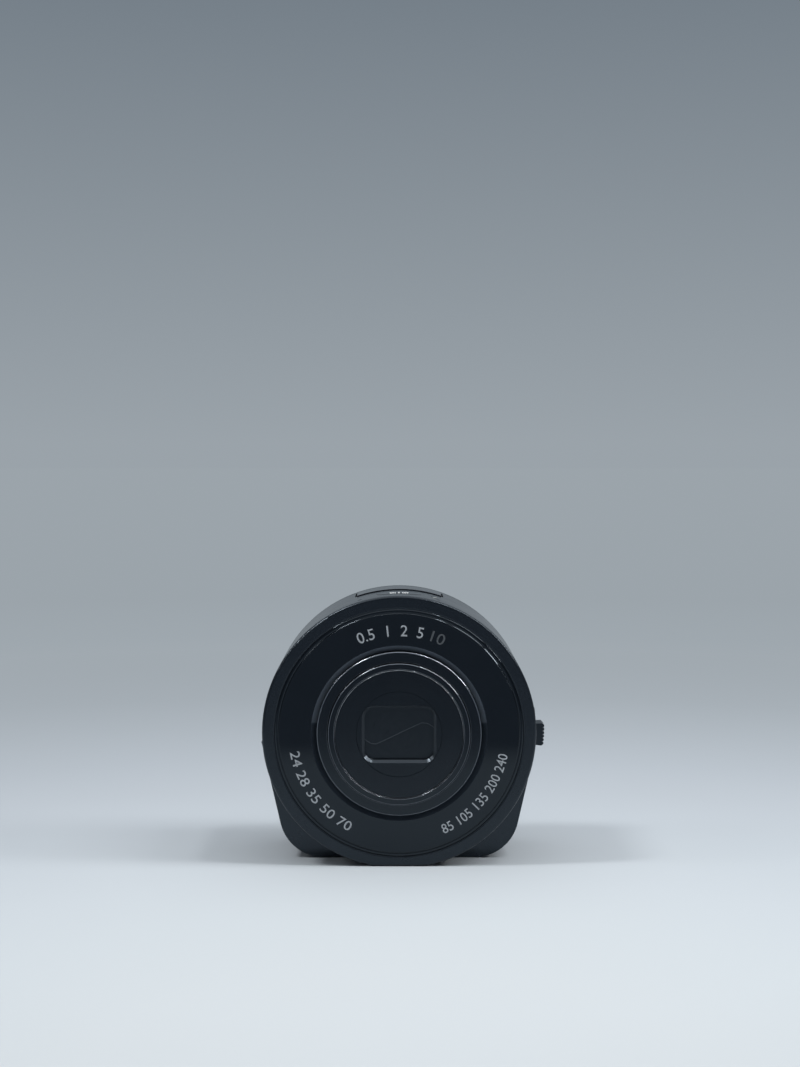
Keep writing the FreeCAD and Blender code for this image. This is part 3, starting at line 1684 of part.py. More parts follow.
def make_zoom_lever():
    body = new_body("zoom_lever")
    y0 = d.lever_front
    y1 = y0 + d.lever_width
    inner = d.housing_radius + d.lever_gap
    outer = d.housing_radius + d.lever_height
    profile = [(inner, y0), (outer, y0), (outer, y1), (inner, y1)]
    grip = ring(body, profile, "Revolution", d.lever_angle)
    turn_sketch(grip.Profile[0], d.lever_drop)
    finish_edges(
        body,
        "Chamfer",
        grip,
        lambda edge, middle: near(middle.y, (y0 + y1) / 2)
        and near(math.hypot(middle.x, middle.z), outer),
        d.lever_tooth_depth,
    )
    middle = (y0 + y1) / 2
    half = d.lever_neck_width / 2
    slider_outer = bore - d.lever_gap * 3
    slider_inner = slider_outer - d.lever_slider_thickness
    neck = [
        (slider_inner, middle - half),
        (inner + d.lever_gap, middle - half),
        (inner + d.lever_gap, middle + half),
        (slider_inner, middle + half),
    ]
    ring(body, neck, "Revolution", d.lever_neck_angle)
    half = d.lever_slider_width / 2
    slider = [
        (slider_inner, middle - half),
        (slider_outer, middle - half),
        (slider_outer, middle + half),
        (slider_inner, middle + half),
    ]
    ring(body, slider, "Revolution", d.lever_slider_angle)
    first = d.lever_tooth_pitch * (d.lever_tooth_count - 1) / 2 - d.lever_drop
    third = d.lever_tooth_pitch / 3
    tooth = [
        on_circle(outer - d.lever_tooth_depth, first),
        on_circle(outer + d.lever_gap, first + third),
        on_circle(outer + d.lever_gap, first - third),
    ]
    groove = pocket_y(body, y0 - d.lever_gap, y1 + d.lever_gap, draw_polygon, tooth)
    grooves = body.newObject("PartDesign::PolarPattern", "lever_grooves")
    grooves.Originals = [groove]
    grooves.Axis = (origin_feature(body, "Y_Axis"), [""])
    bind(grooves, "Angle", d.lever_tooth_pitch * (d.lever_tooth_count - 1))
    bind(grooves, "Occurrences", d.lever_tooth_count)
    body.Tip = grooves
    return node(body)


def make_shutter_button():
    body = new_body("shutter_button")
    y = d.shutter_button_depth
    face = d.housing_radius + d.shutter_button_proud
    cap = pad_x(body, shutter_flange_inner, face, draw_circle, y, 0, d.shutter_button_radius)
    finish_edges(
        body,
        "Fillet",
        cap,
        lambda edge, middle: near(middle.x, face),
        d.shutter_button_proud / 2,
    )
    flange = d.shutter_button_radius + d.button_flange_width
    pad_x(body, shutter_flange_inner, shutter_flange_outer, draw_circle, y, 0, flange)
    stem = shutter_flange_inner - d.button_flange_thickness
    pad_x(body, stem, shutter_flange_inner, draw_circle, y, 0, d.shutter_button_radius / 3)
    return node(body)


def make_power_button():
    body = new_body("power_button")
    y = d.power_button_depth
    half_x = d.power_button_half_length
    half_y = d.power_button_half_width
    edge = d.button_flange_width
    outside = d.housing_radius + d.housing_wall
    outline = (-half_x, half_x, y - half_y, y + half_y, half_y - d.button_gap * 2)
    pad_z(body, power_flange_bottom, outside, draw_rounded_box, *outline)
    crown = d.housing_radius + d.power_button_proud
    beyond = outside + d.housing_wall
    top_sector(body, "Groove", y - beyond / 2, y + beyond / 2, crown, beyond, d.top_plate_angle)
    wide = (-half_x - edge, half_x + edge, y - half_y - edge, y + half_y + edge)
    pad_z(body, power_flange_bottom, power_flange_top, draw_box, *wide)
    stem = power_flange_bottom - d.button_flange_thickness
    pad_z(body, stem, power_flange_bottom, draw_box, -edge, edge, y - edge, y + edge)
    return node(body)


def make_side_switches():
    """The switches that the shutter button and the lever's slider press, on one board."""
    stem_end = shutter_flange_inner - d.button_flange_thickness
    shutter_top = stem_end - d.shutter_button_travel - d.button_gap
    board_face = shutter_top - d.side_switch_height
    half_z = d.switch_half_width
    y = d.shutter_button_depth
    half_y = d.switch_half_width
    outline = (y - half_y, y + half_y, -half_z, half_z)
    node(block("shutter_switch", board_face, shutter_top, *outline))
    y = d.lever_front + d.lever_width / 2
    half_y = d.switch_half_depth
    zoom_top = bore - d.lever_gap * 4 - d.lever_slider_thickness
    outline = (y - half_y, y + half_y, -half_z, half_z)
    node(block("zoom_switch", board_face, zoom_top, *outline))
    board_back_face = board_face - d.small_board_thickness
    outline = (y - half_z, d.plate_front, -half_z * 2, half_z * 2)
    node(block("side_board", board_back_face, board_face, *outline))


def make_top_switches():
    """The power switch, the microphones and the lamp, on one board under the top."""
    stem_end = power_flange_bottom - d.button_flange_thickness
    switch_top = stem_end - d.power_button_travel - d.button_gap
    board_face = switch_top - d.top_switch_height
    y = d.power_button_depth
    half_x = d.switch_half_width
    half_y = d.switch_half_depth
    outline = (-half_x, half_x, y - half_y, y + half_y)
    node(block("power_switch", *outline, board_face, switch_top))
    half_x = d.microphone_offset + d.microphone_radius * 2
    board_front_edge = d.microphone_depth - d.microphone_radius
    outline = (-half_x, half_x, board_front_edge, d.plate_front)
    node(block("top_board", *outline, board_face - d.small_board_thickness, board_face))
    capsules = []
    for side, label in ((-1, "left_microphone"), (1, "right_microphone")):
        centre = (side * d.microphone_offset, d.microphone_depth)
        capsules.append(rod_z(label, *centre, d.microphone_radius, board_face, switch_top))
    node(group("microphones", capsules))
    lamp_x, lamp_top = lamp_place()
    node(rod_z("power_lamp", lamp_x, y, d.lamp_radius, board_face, lamp_top))


def make_display():
    y0 = d.display_front
    y1 = y0 + d.display_length
    z0 = d.display_bottom
    z1 = z0 + d.display_height
    face = -display_face
    node(block("display_window", face, face + d.display_glass, y0, y1, z0, z1))
    panel_face_x = -bore + d.display_panel_gap
    panel_back_x = panel_face_x + d.display_panel_thickness
    node(block("display_panel", panel_face_x, panel_back_x, y0, y1, z0, z1))


# Ports, power and fasteners


def make_tripod_socket():
    body = new_body("tripod_socket")
    bottom = -d.axis_height
    half = d.socket_half_width
    square = (-half, half, -half, half, d.socket_corner)
    pad_z(body, bottom, bottom + socket_height, draw_rounded_box, *square)
    flange = bottom + d.socket_flange_bottom
    flange_top = flange + d.socket_flange_thickness
    half = d.socket_flange_half_width
    square = (-half, half, -half, half, d.socket_corner)
    pad_z(body, flange, flange_top, draw_rounded_box, *square)
    pocket_z(body, bottom, bottom + thread_depth, draw_circle, 0, 0, d.thread_radius)
    return node(body)


def make_usb():
    z = -d.usb_drop
    half = d.usb_half_length
    y0 = board_back
    y1 = y0 + d.usb_thickness
    wall = d.usb_wall
    x0 = -usb_mouth
    x1 = x0 + d.usb_depth
    body = new_body("usb_shell")
    pad_x(body, x0, x1, draw_box, y0, y1, z - half, z + half)
    inside = (y0 + wall, y1 - wall, z - half + wall, z + half - wall)
    pocket_x(body, x0, x1 - wall, draw_box, *inside)
    node(body)
    middle = (y0 + y1) / 2
    tongue = half - wall * 4
    node(
        block(
            "usb_tongue",
            x0 + wall * 2,
            x1 - wall,
            middle - wall,
            middle + wall,
            z - tongue,
            z + tongue,
        )
    )


def make_strap_bar():
    reach = d.strap_half_height - d.pin_gap
    z = -d.strap_drop
    bar = (-strap_bar_distance, d.strap_depth, d.strap_bar_radius)
    return node(rod_z("strap_bar", *bar, z - reach, z + reach))


def make_battery():
    half_x = d.battery_half_width
    half_z = d.battery_half_height
    body = new_body("battery")
    outline = (-half_x, half_x, -half_z, half_z, d.battery_rounding)
    pad_y(body, battery_front, battery_back, draw_rounded_box, *outline)
    node(body)

    gap = d.battery_side_gap
    tray = new_body("battery_tray")
    tray_back = door_inside - gap
    inside = (-half_x - gap, half_x + gap, -half_z - gap, half_z + gap, d.battery_rounding - gap)
    outer_x = half_x + gap + d.tray_wall
    outer_z = half_z + gap + d.tray_wall
    outside = (-outer_x, outer_x, -outer_z, outer_z, d.battery_rounding)
    pad_y(tray, tray_front, tray_back, draw_rounded_box, *outside)
    pocket_y(tray, tray_inside, tray_back, draw_rounded_box, *inside)
    slot = d.card_half_width + d.card_side_room
    slot_bottom = d.card_slot_bottom - d.card_bottom_room
    slot_top = d.card_slot_bottom + d.card_height + d.card_side_room
    pocket_y(tray, tray_front, tray_inside, draw_box, -slot, slot, slot_bottom, slot_top)
    reach = d.contact_window
    low = -half_z + d.contact_rise
    pocket_y(tray, tray_front, tray_inside, draw_box, -reach, reach, low, low + reach)
    node(tray)

    contacts = []
    half = d.contact_half_width
    z0 = low + half
    z1 = z0 + d.contact_height
    for number, step in enumerate((-1, 0, 1), start=1):
        x = step * d.contact_pitch
        contact = (x - half, x + half, board_back, battery_front, z0, z1)
        contacts.append(block(f"battery_contact_{number}", *contact))
    node(group("battery_contacts", contacts))


def make_card():
    wall = d.card_slot_wall
    play = d.card_play
    half = d.card_half_width
    y0 = board_back
    card_front = y0 + wall
    card_back = card_front + d.card_thickness
    z0 = d.card_slot_bottom
    z1 = z0 + d.card_height
    shell = block("card_slot_shell", -half - wall, half + wall, y0, card_back + wall, z0, z1)
    cavity = block(
        "card_slot_cavity",
        -half - play,
        half + play,
        card_front - play,
        card_back + play,
        z0 - play,
        z1 - wall,
    )
    node(cut("card_slot", shell, cavity))
    card_top = z1 - wall - play
    node(
        block("memory_card", -half, half, card_front, card_back, card_top - d.card_height, card_top)
    )


def make_screw(label, x, z, head_front, head_radius, shank_front, shank_back):
    """A cap screw along Y. The head lies behind head_front when the shank points forward."""
    head_back = as_size(head_front) + d.screw_head_depth
    head = rod_y(f"{label}_head", x, z, head_radius, head_front, head_back)
    shank = rod_y(f"{label}_shank", x, z, d.screw_radius, shank_front, shank_back)
    return join(label, [head, shank])


def make_screws():
    case_screws = []
    head_front = door_floor - d.screw_head_depth - d.button_gap
    for number, (x, z) in enumerate(screw_places(), start=1):
        shank_front = cover_front - d.screw_length + d.screw_gap
        shape = (head_front, d.screw_head_radius, shank_front, head_front)
        case_screws.append(make_screw(f"case_screw_{number}", x, z, *shape))
    node(group("case_screws", case_screws))

    small_screws = []
    for number, angle in enumerate(lens_screw_angles(), start=1):
        x, z = on_circle(lens_screw_circle, angle)
        tip = plate_back - d.small_screw_length
        shape = (plate_back, d.small_screw_head_radius, tip, plate_back)
        small_screws.append(make_screw(f"lens_screw_{number}", x, z, *shape))
    for number, angle in enumerate(plate_screw_angles(), start=1):
        x, z = on_circle(plate_screw_circle, angle)
        head = d.plate_front - d.screw_head_depth
        tip = d.plate_front + d.small_screw_length
        shape = (head, d.small_screw_head_radius, d.plate_front, tip)
        small_screws.append(make_screw(f"plate_screw_{number}", x, z, *shape))
    node(group("small_screws", small_screws))


make_front_ring()
make_front_panel()
make_main_housing()
make_rear_cover()
make_battery_cover()
make_hinge_pin()
make_top_plate()
make_fixed_barrel()
make_outer_barrel()
make_inner_barrel()
make_barrier_cover()
make_blade("upper_blade", 1, upper_blade_front)
make_blade("lower_blade", -1, lower_blade_front)
make_barrier_base()
make_front_group()
make_zoom_group()
make_focus_group()
make_lens_plate()
make_sensor()
make_main_board()
make_board_chips()
make_drive()
make_zoom_lever()
make_shutter_button()
make_power_button()
make_side_switches()
make_top_switches()
make_display()
make_tripod_socket()
make_usb()
make_strap_bar()
make_battery()
make_card()
make_screws()
document.recompute()

for thing in document.Objects:
    if "Invalid" in thing.State or "Error" in thing.State:
        raise RuntimeError(f"{thing.Label} could not be made: {thing.State}")
for thing in nodes:
    if thing.Shape.isNull() or not thing.Shape.isValid():
        raise RuntimeError(f"{thing.Label} has no valid shape")

os.makedirs("parts", exist_ok=True)
for thing in nodes:
    thing.Shape.exportStep(os.path.join("parts", f"{thing.Label}.step"))
    print(thing.Label, len(thing.Shape.Solids), round(thing.Shape.Volume, 3))
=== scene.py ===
import math

import bpy
import numpy as np
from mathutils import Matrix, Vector


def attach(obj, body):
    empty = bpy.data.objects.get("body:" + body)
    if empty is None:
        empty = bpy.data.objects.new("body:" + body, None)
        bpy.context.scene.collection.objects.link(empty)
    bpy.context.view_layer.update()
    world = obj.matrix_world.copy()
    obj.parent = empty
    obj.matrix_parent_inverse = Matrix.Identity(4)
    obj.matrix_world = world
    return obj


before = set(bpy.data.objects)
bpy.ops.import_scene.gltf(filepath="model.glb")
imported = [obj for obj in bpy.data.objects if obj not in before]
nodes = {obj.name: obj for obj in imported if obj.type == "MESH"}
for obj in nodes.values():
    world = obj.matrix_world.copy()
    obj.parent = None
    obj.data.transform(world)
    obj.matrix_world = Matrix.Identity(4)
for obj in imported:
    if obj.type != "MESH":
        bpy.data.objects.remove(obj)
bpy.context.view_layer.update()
print("frame loaded:", len(nodes), "nodes")

mm = 0.001
axisHeight = 30.5 * mm          # lens axis above the table


class Wire:                     # one value or colour in a material; sums of wires add Math nodes
    def __init__(self, paint, socket):
        self.paint = paint
        self.socket = socket

    def maths(self, operation, other=0.0, flipped=False):
        first, second = (other, self) if flipped else (self, other)
        return self.paint.node("ShaderNodeMath", {"operation": operation}, {0: first, 1: second})

    def __add__(self, other):
        return self.maths("ADD", other)

    def __radd__(self, other):
        return self.maths("ADD", other)

    def __sub__(self, other):
        return self.maths("SUBTRACT", other)

    def __rsub__(self, other):
        return self.maths("SUBTRACT", other, True)

    def __mul__(self, other):
        return self.maths("MULTIPLY", other)

    def __rmul__(self, other):
        return self.maths("MULTIPLY", other)

    def __truediv__(self, other):
        return self.maths("DIVIDE", other)

    def __rtruediv__(self, other):
        return self.maths("DIVIDE", other, True)

    def most(self, other):
        return self.maths("MAXIMUM", other)

    def ramp(self, low, high):  # 0 at low, 1 at high, straight between
        return self.paint.node("ShaderNodeMapRange", {}, {0: self, 1: low, 2: high, 3: 0.0, 4: 1.0})


class Wiring:                   # short ways to add to a node tree
    def __init__(self, tree, coordinates):
        self.tree = tree
        self.place = self.node("ShaderNodeTexCoord", {}, {}, coordinates)

    def node(self, kind, settings, sockets, out=0):     # out None gives every output
        made = self.tree.nodes.new(kind)
        for key, value in settings.items():
            if key == "stops":
                self.setStops(made.color_ramp, value)
            else:
                setattr(made, key, value)
        for key, value in sockets.items():
            self.feed(made.inputs[key], value)
        if out is None:
            return [Wire(self, output) for output in made.outputs]
        return Wire(self, made.outputs[out])

    def setStops(self, ramp, stops):
        while len(ramp.elements) < len(stops):
            ramp.elements.new(1.0)
        for element, (position, color) in zip(ramp.elements, stops):
            element.position = position
            element.color = color

    def feed(self, socket, value):          # a wire is linked, a plain value is set
        if isinstance(value, Wire):
            self.tree.links.new(value.socket, socket)
        else:
            socket.default_value = value

    def noise(self, scale, detail=2.0, rough=0.5, place=None):
        sockets = {"Vector": place or self.place, "Scale": scale, "Detail": detail, "Roughness": rough}
        return self.node("ShaderNodeTexNoise", {}, sockets)

    def axes(self):             # x, y, z of the place, each as a value
        return self.node("ShaderNodeSeparateXYZ", {}, {0: self.place}, None)

    def mix(self, factor, first, second):
        sockets = {0: factor, 6: first, 7: second}
        return self.node("ShaderNodeMix", {"data_type": "RGBA"}, sockets, 2)


class Paint(Wiring):            # a material with one Principled shader
    def __init__(self, name, **fixed):
        self.material = bpy.data.materials.new(name)
        self.material.use_nodes = True
        super().__init__(self.material.node_tree, "Object")
        self.shader = self.tree.nodes["Principled BSDF"]
        for socket, value in fixed.items():
            self.put(socket.replace("_", " "), value)

    def put(self, socket, value):
        self.feed(self.shader.inputs[socket], value)

    def radius(self):           # distance from the lens axis
        x, y, z = self.axes()
        up = z - axisHeight
        return (x * x + up * up).maths("SQRT")

    def edge(self, radius, y, width):   # 1 at a round edge about the lens axis, 0 beyond width
        out = self.radius() - radius * mm
        back = self.axes()[1] - y * mm
        away = (out * out + back * back).maths("SQRT")
        return 1 - away.ramp(width * 0.7 * mm, width * mm)

    def bump(self, height, strength, distance):
        sockets = {"Height": height, "Strength": strength, "Distance": distance}
        self.put("Normal", self.node("ShaderNodeBump", {}, sockets))

    def shade(self, *names):    # gives this material to CAD nodes
        for name in names:
            mesh = nodes[name].data
            mesh.materials.clear()
            mesh.materials.append(self.material)


def grey(level):
    return (level, level, level, 1.0)


def tinted(red, green, blue):
    return (red, green, blue, 1.0)


# Finishes. The main ones take their values from the dictionary above them.

moulding = {"dark": tinted(0.0050, 0.0068, 0.0095), "light": tinted(0.0080, 0.0105, 0.0140),
            "roughness": 0.26, "spread": 0.08, "grainScale": 5200, "grain": 0.06}
blueGloss = tinted(0.72, 0.86, 1.0)     # the black finishes mirror a little bluish


def mouldedPlastic(name, look):         # fine spark-eroded grain with a slow drift in gloss
    paint = Paint(name, IOR=1.5, Specular_Tint=blueGloss)
    drift = paint.noise(140, 3.0)
    grain = paint.noise(look["grainScale"], 2.0, 0.6)
    paint.put("Base Color", paint.mix(drift, look["dark"], look["light"]))
    paint.put("Roughness", look["roughness"] + (drift - 0.5) * look["spread"] + (grain - 0.5) * 0.08)
    paint.bump(grain, look["grain"], 0.00002)
    return paint


# Radii and heights of the face in mm, coneEnds in degrees from the top
gloss = {"color": tinted(0.0012, 0.0020, 0.0032), "hazeColor": tinted(0.0030, 0.0042, 0.0058),
         "roughness": 0.055, "haze": 0.05, "groove": 27.45, "grooveHalf": 0.20, "depth": 0.16,
         "rise": 0.12, "crest": 27.90, "fall": 28.45, "drop": 0.17,
         # the cone's two colours are painted light: a reflection over its upper part, shade below
         "cone": 20.02, "coneEnds": 83.0, "conePaintedSheen": tinted(0.088, 0.104, 0.126),
         "conePaintedShade": tinted(0.019, 0.025, 0.034), "coneRoughness": 0.35}


def glossyPanel(name, look):
    # Lacquered black with the faint haze of handling. Round the face its height dips over the
    # groove as a parabola, stays level to the crest and then falls away as another. The cone
    # towards the barrel is satin, with a painted reflection making its upper part grey and
    # painted shade darkening its lower part.
    paint = Paint(name, IOR=1.47, Specular_Tint=blueGloss)
    haze = paint.noise(55, 4.0, 0.65)
    wipe = paint.noise(420, 2.0)
    film = haze.ramp(0.45, 0.75)
    x, y, z = paint.axes()
    reach = paint.radius() / mm
    angle = x.maths("ABSOLUTE").maths("ARCTAN2", z - axisHeight) * (180 / math.pi)
    cone = 1 - reach.ramp(look["cone"] - 0.05, look["cone"] + 0.05)
    upper = 1 - angle.ramp(look["coneEnds"] - 0.6, look["coneEnds"] + 0.6)
    lacquer = paint.mix(film, look["color"], look["hazeColor"])
    # over the cone the colour is painted light: a painted reflection above, painted shade below
    satin = paint.mix(upper, look["conePaintedShade"], look["conePaintedSheen"])
    paint.put("Base Color", paint.mix(cone, lacquer, satin))
    dull = cone * look["coneRoughness"]
    paint.put("Roughness", look["roughness"] + film * look["haze"] + wipe * 0.015 + dull)
    off = (reach - look["groove"]) / look["grooveHalf"]
    groove = (1 - off * off).most(0.0)
    fall = reach.ramp(look["crest"], look["fall"])
    risen = reach.ramp(look["groove"] + look["grooveHalf"], look["crest"]) * look["rise"]
    level = risen - fall * fall * look["drop"]
    paint.bump(level - groove * look["depth"], 1.0, mm)
    return paint


# The pitch in m, the rest in mm; round and sunk are 0 where a piece has no rounded edge or bevel
turned = {"dark": tinted(0.0010, 0.0018, 0.0030), "light": tinted(0.0030, 0.0042, 0.0060),
          "roughness": 0.20, "pitch": 0.00016, "depth": 0.006, "edge": tinted(0.22, 0.24, 0.27),
          "round": 0.0, "roundWidth": 0.22, "roundDrop": 0.2, "sunk": 0.0, "bevelEdge": 0.03,
          # bevel is a paler colour painted on the window's shaded bevels and walls
          "bevel": tinted(0.022, 0.026, 0.031)}


def bareEdges(paint, tone, look, edges):
    # Puts on the tone, and bare metal where it is cut away along these edges: radius, y, width
    bare = 0.0
    for edge in edges:
        bare = paint.edge(*edge).most(bare)
    paint.put("Base Color", paint.mix(bare, tone, look["edge"]))
    paint.put("Metallic", bare)


def turnedFace(name, look, edges):      # fine rings left by turning, about the lens axis
    paint = Paint(name, IOR=1.47, Specular_Tint=blueGloss)
    radius = paint.radius()
    rings = (radius * (2 * math.pi / look["pitch"])).maths("SINE") * 0.5 + 0.5
    x, y, z = paint.axes()
    angle = (z - axisHeight).maths("ARCTAN2", x)
    places = paint.node("ShaderNodeCombineXYZ", {}, {0: radius * 900, 1: angle * 1.2, 2: 0.0})
    streak = paint.noise(1.0, 3.0, 0.6, places)
    tone = paint.mix(streak, look["dark"], look["light"])
    if look["sunk"]:                    # the window's bevels and walls behind this depth are made paler, painted light that lifts their shade
        behind = y.ramp(look["sunk"] * mm, (look["sunk"] + look["bevelEdge"]) * mm)
        tone = paint.mix(behind, tone, look["bevel"])
    bareEdges(paint, tone, look, edges)
    paint.put("Roughness", look["roughness"] + (streak - 0.5) * 0.12)
    height = (rings * 0.6 + streak * 0.4) * look["depth"]
    if look["round"]:                   # the outer edge is rounded off as a parabola
        fall = (radius / mm).ramp(look["round"] - look["roundWidth"], look["round"])
        height = height - fall * fall * look["roundDrop"]
    paint.bump(height, 1.0, mm)
    return paint


def barrelPaint(name, look, edges):     # satin anodising over a barrel, with lines round the axis
    paint = Paint(name, IOR=1.47, Specular_Tint=blueGloss)
    x, y, z = paint.axes()
    lines = paint.node("ShaderNodeCombineXYZ", {}, {0: y * 5200, 1: x * 90, 2: z * 90})
    line = paint.noise(1.0, 2.0, 0.5, lines)
    drift = paint.noise(110, 2.0)
    bareEdges(paint, paint.mix(drift, look["dark"], look["light"]), look, edges)
    paint.put("Roughness", look["roughness"] + (line - 0.5) * 0.16)
    paint.bump(line, 0.15, 0.00001)
    return paint


def metal(name, color, roughness, scale=2600):      # bare metal with a fine drawn grain
    paint = Paint(name, Metallic=1.0)
    x, y, z = paint.axes()
    drawn = paint.node("ShaderNodeCombineXYZ", {}, {0: x * scale, 1: y * (scale / 12), 2: z * scale})
    grain = paint.noise(1.0, 3.0, 0.6, drawn)
    stain = paint.noise(300, 2.0)
    dark = tuple(channel * 0.82 for channel in color[:3]) + (1.0,)
    paint.put("Base Color", paint.mix(stain * 0.7, color, dark))
    paint.put("Roughness", roughness + (grain - 0.5) * 0.18)
    paint.bump(grain, 0.1, 0.00001)
    return paint


def glass(name, tint, coating, roughness=0.0):      # coated glass: clear body, coloured sheen
    paint = Paint(name, Transmission_Weight=1.0, IOR=1.6, Coat_IOR=1.7, Coat_Tint=coating)
    dust = paint.noise(1500, 2.0).ramp(0.62, 0.8)
    paint.put("Base Color", paint.mix(dust * 0.25, tint, grey(0.6)))
    paint.put("Roughness", roughness + dust * 0.05)
    paint.put("Coat Weight", 0.6)
    return paint


boardLook = {"mask": tinted(0.008, 0.055, 0.022), "track": tinted(0.020, 0.105, 0.045),
             "pad": tinted(0.75, 0.55, 0.22), "cell": 900, "padScale": 620, "padEdge": (0.10, 0.14)}


def circuitBoard(name, look):           # green mask over tracks, with gold pads where cells meet
    paint = Paint(name, IOR=1.5)
    x, y, z = paint.axes()
    grid = paint.node("ShaderNodeCombineXYZ", {}, {0: x, 1: 0.0, 2: z})
    tracks = paint.node("ShaderNodeTexBrick", {"offset": 0.35}, {
        "Vector": grid, "Scale": look["cell"], "Mortar Size": 0.09, "Mortar Smooth": 0.1,
        "Color1": grey(0.0), "Color2": grey(0.0), "Mortar": grey(1.0)}, 1)
    cells = {"Vector": grid, "Scale": look["padScale"]}
    spots = paint.node("ShaderNodeTexVoronoi", {"feature": "F1"}, cells)
    pad = 1 - spots.ramp(*look["padEdge"])
    ground = paint.mix(tracks, look["mask"], look["track"])
    paint.put("Base Color", paint.mix(pad, ground, look["pad"]))
    paint.put("Metallic", pad)
    paint.put("Roughness", 0.38 - pad * 0.1)
    paint.bump(tracks * 0.5 + pad * 0.5, 0.3, 0.00003)
    return paint


def chipTop(name):                      # moulded chip bodies, dull with a little grit
    paint = Paint(name, IOR=1.5)
    grit = paint.noise(6500, 2.0)
    cloud = paint.noise(260, 2.0)
    paint.put("Base Color", paint.mix(cloud, grey(0.012), grey(0.03)))
    paint.put("Roughness", 0.55 + (grit - 0.5) * 0.2)
    paint.bump(grit, 0.3, 0.00002)
    return paint


def sensorFace(name):                   # the sensor's photo cells: dark, with a violet-green sheen
    paint = Paint(name, Specular_IOR_Level=0.8, Coat_IOR=1.6)
    x, y, z = paint.axes()
    lattice = ((x * 90000).maths("SINE") * (z * 90000).maths("SINE")) * 0.5 + 0.5
    sweep = (x + z * 0.7).ramp(0.018, 0.026)
    tone = paint.mix(sweep, tinted(0.05, 0.02, 0.09), tinted(0.01, 0.07, 0.05))
    paint.put("Base Color", paint.mix(lattice * 0.3, tone, grey(0.01)))
    paint.put("Roughness", 0.12 + lattice * 0.05)
    paint.put("Coat Weight", 0.8)
    return paint


def wrapLabel(name):                    # the battery's film: dark sleeve, lighter printed band
    paint = Paint(name, IOR=1.5)
    x, y, z = paint.axes()
    band = z.ramp(0.0400, 0.0402) * (1 - z.ramp(0.0440, 0.0442))
    film = paint.noise(400, 3.0)
    sleeve = paint.mix(film, grey(0.018), grey(0.03))
    paint.put("Base Color", paint.mix(band, sleeve, tinted(0.20, 0.21, 0.22)))
    paint.put("Roughness", 0.34 + film * 0.12)
    paint.bump(film, 0.15, 0.00003)
    return paint


def lightGuide(name, tint):             # milky plastic over the power lamp, which is off
    paint = Paint(name, Transmission_Weight=0.3, IOR=1.49)
    cloud = paint.noise(900, 2.0)
    paint.put("Base Color", paint.mix(cloud, tint, grey(0.75)))
    paint.put("Roughness", 0.25 + cloud * 0.1)
    return paint


def displayFace(name):                  # a small reflective display, switched off
    paint = Paint(name, Specular_IOR_Level=0.6)
    x, y, z = paint.axes()
    cells = ((y * 26000).maths("SINE").most((z * 26000).maths("SINE"))).ramp(0.80, 0.95)
    cloud = paint.noise(300, 2.0)
    ground = paint.mix(cloud, tinted(0.050, 0.058, 0.050), tinted(0.070, 0.078, 0.068))
    paint.put("Base Color", paint.mix(cells * 0.35, ground, grey(0.03)))
    paint.put("Roughness", 0.22 + cloud * 0.06)
    return paint


mouldedPlastic("satinMoulding", moulding).shade("front_ring", "rear_cover", "battery_cover")
bodyLook = {**moulding, "light": tinted(0.0120, 0.0155, 0.0205), "roughness": 0.20}
mouldedPlastic("bodyMoulding", bodyLook).shade("main_housing")
panelPaint = glossyPanel("glossPanel", gloss)
panelPaint.shade("front_panel")
coverLook = {**turned, "round": 14.65, "sunk": -16.39}
coverEdges = [(14.65, -16.4, 0.16)]     # radius, y and width of the bare metal, in mm
turnedFace("turnedBarrier", coverLook, coverEdges).shade("barrier_cover")
barrelLook = {**turned, "roughness": 0.15}
outerEdges = [(18.7, -16.0, 0.24), (16.25, -16.0, 0.16)]
innerEdges = [(16.1, -16.65, 0.16), (14.75, -16.65, 0.13)]
barrelPaint("outerAnodised", barrelLook, outerEdges).shade("outer_barrel")
barrelPaint("innerAnodised", barrelLook, innerEdges).shade("inner_barrel")
bladeLook = {**turned, "light": tinted(0.010, 0.012, 0.015), "roughness": 0.30, "depth": 0.008}
turnedFace("bladeSatin", bladeLook, []).shade("upper_blade", "lower_blade")
mouldedPlastic("trimPlate", {**bodyLook, "roughness": 0.16}).shade("top_plate")
mouldedPlastic("powerKey", bodyLook).shade("power_button")
keyLook = {**moulding, "roughness": 0.30, "grain": 0.12}
mouldedPlastic("keyPlastic", keyLook).shade("zoom_lever", "shutter_button")
mouldedPlastic("innerPlastic", {**moulding, "roughness": 0.6, "grain": 0.4}).shade(
    "barrier_base", "front_lens_holder", "zoom_lens_holder", "shutter_unit", "focus_lens_holder",
    "filter_frame", "fixed_barrel", "battery_tray", "drive_ring", "microphones")
glass("frontGlass", grey(0.97), tinted(0.55, 0.75, 0.95)).shade("front_lens")
glass("groupGlass", grey(0.97), tinted(0.75, 0.95, 0.70)).shade(
    "zoom_front_lens", "zoom_rear_lens", "focus_lens")
glass("filterGlass", tinted(0.75, 0.95, 0.93), tinted(0.9, 0.6, 0.6)).shade("infrared_filter")
glass("smokedWindow", tinted(0.25, 0.27, 0.29), tinted(0.9, 0.95, 1.0), 0.02).shade("display_window")
lightGuide("lampGuide", tinted(0.05, 0.09, 0.06)).shade("power_lamp")
metal("brightSteel", tinted(0.62, 0.62, 0.63), 0.24).shade(
    "guide_rods", "lead_screw", "hinge_pin", "strap_bar", "usb_shell", "drive_pinion", "card_slot")
metal("dullSteel", tinted(0.50, 0.50, 0.51), 0.38, 1500).shade(
    "lens_plate", "motor_bracket", "zoom_motor", "focus_motor", "tripod_socket")
metal("blackScrew", tinted(0.055, 0.055, 0.06), 0.35, 3200).shade("case_screws", "small_screws")
metal("goldContact", tinted(0.92, 0.68, 0.32), 0.22, 3600).shade("battery_contacts")
circuitBoard("circuitBoard", boardLook).shade("main_board", "sensor_board", "side_board", "top_board")
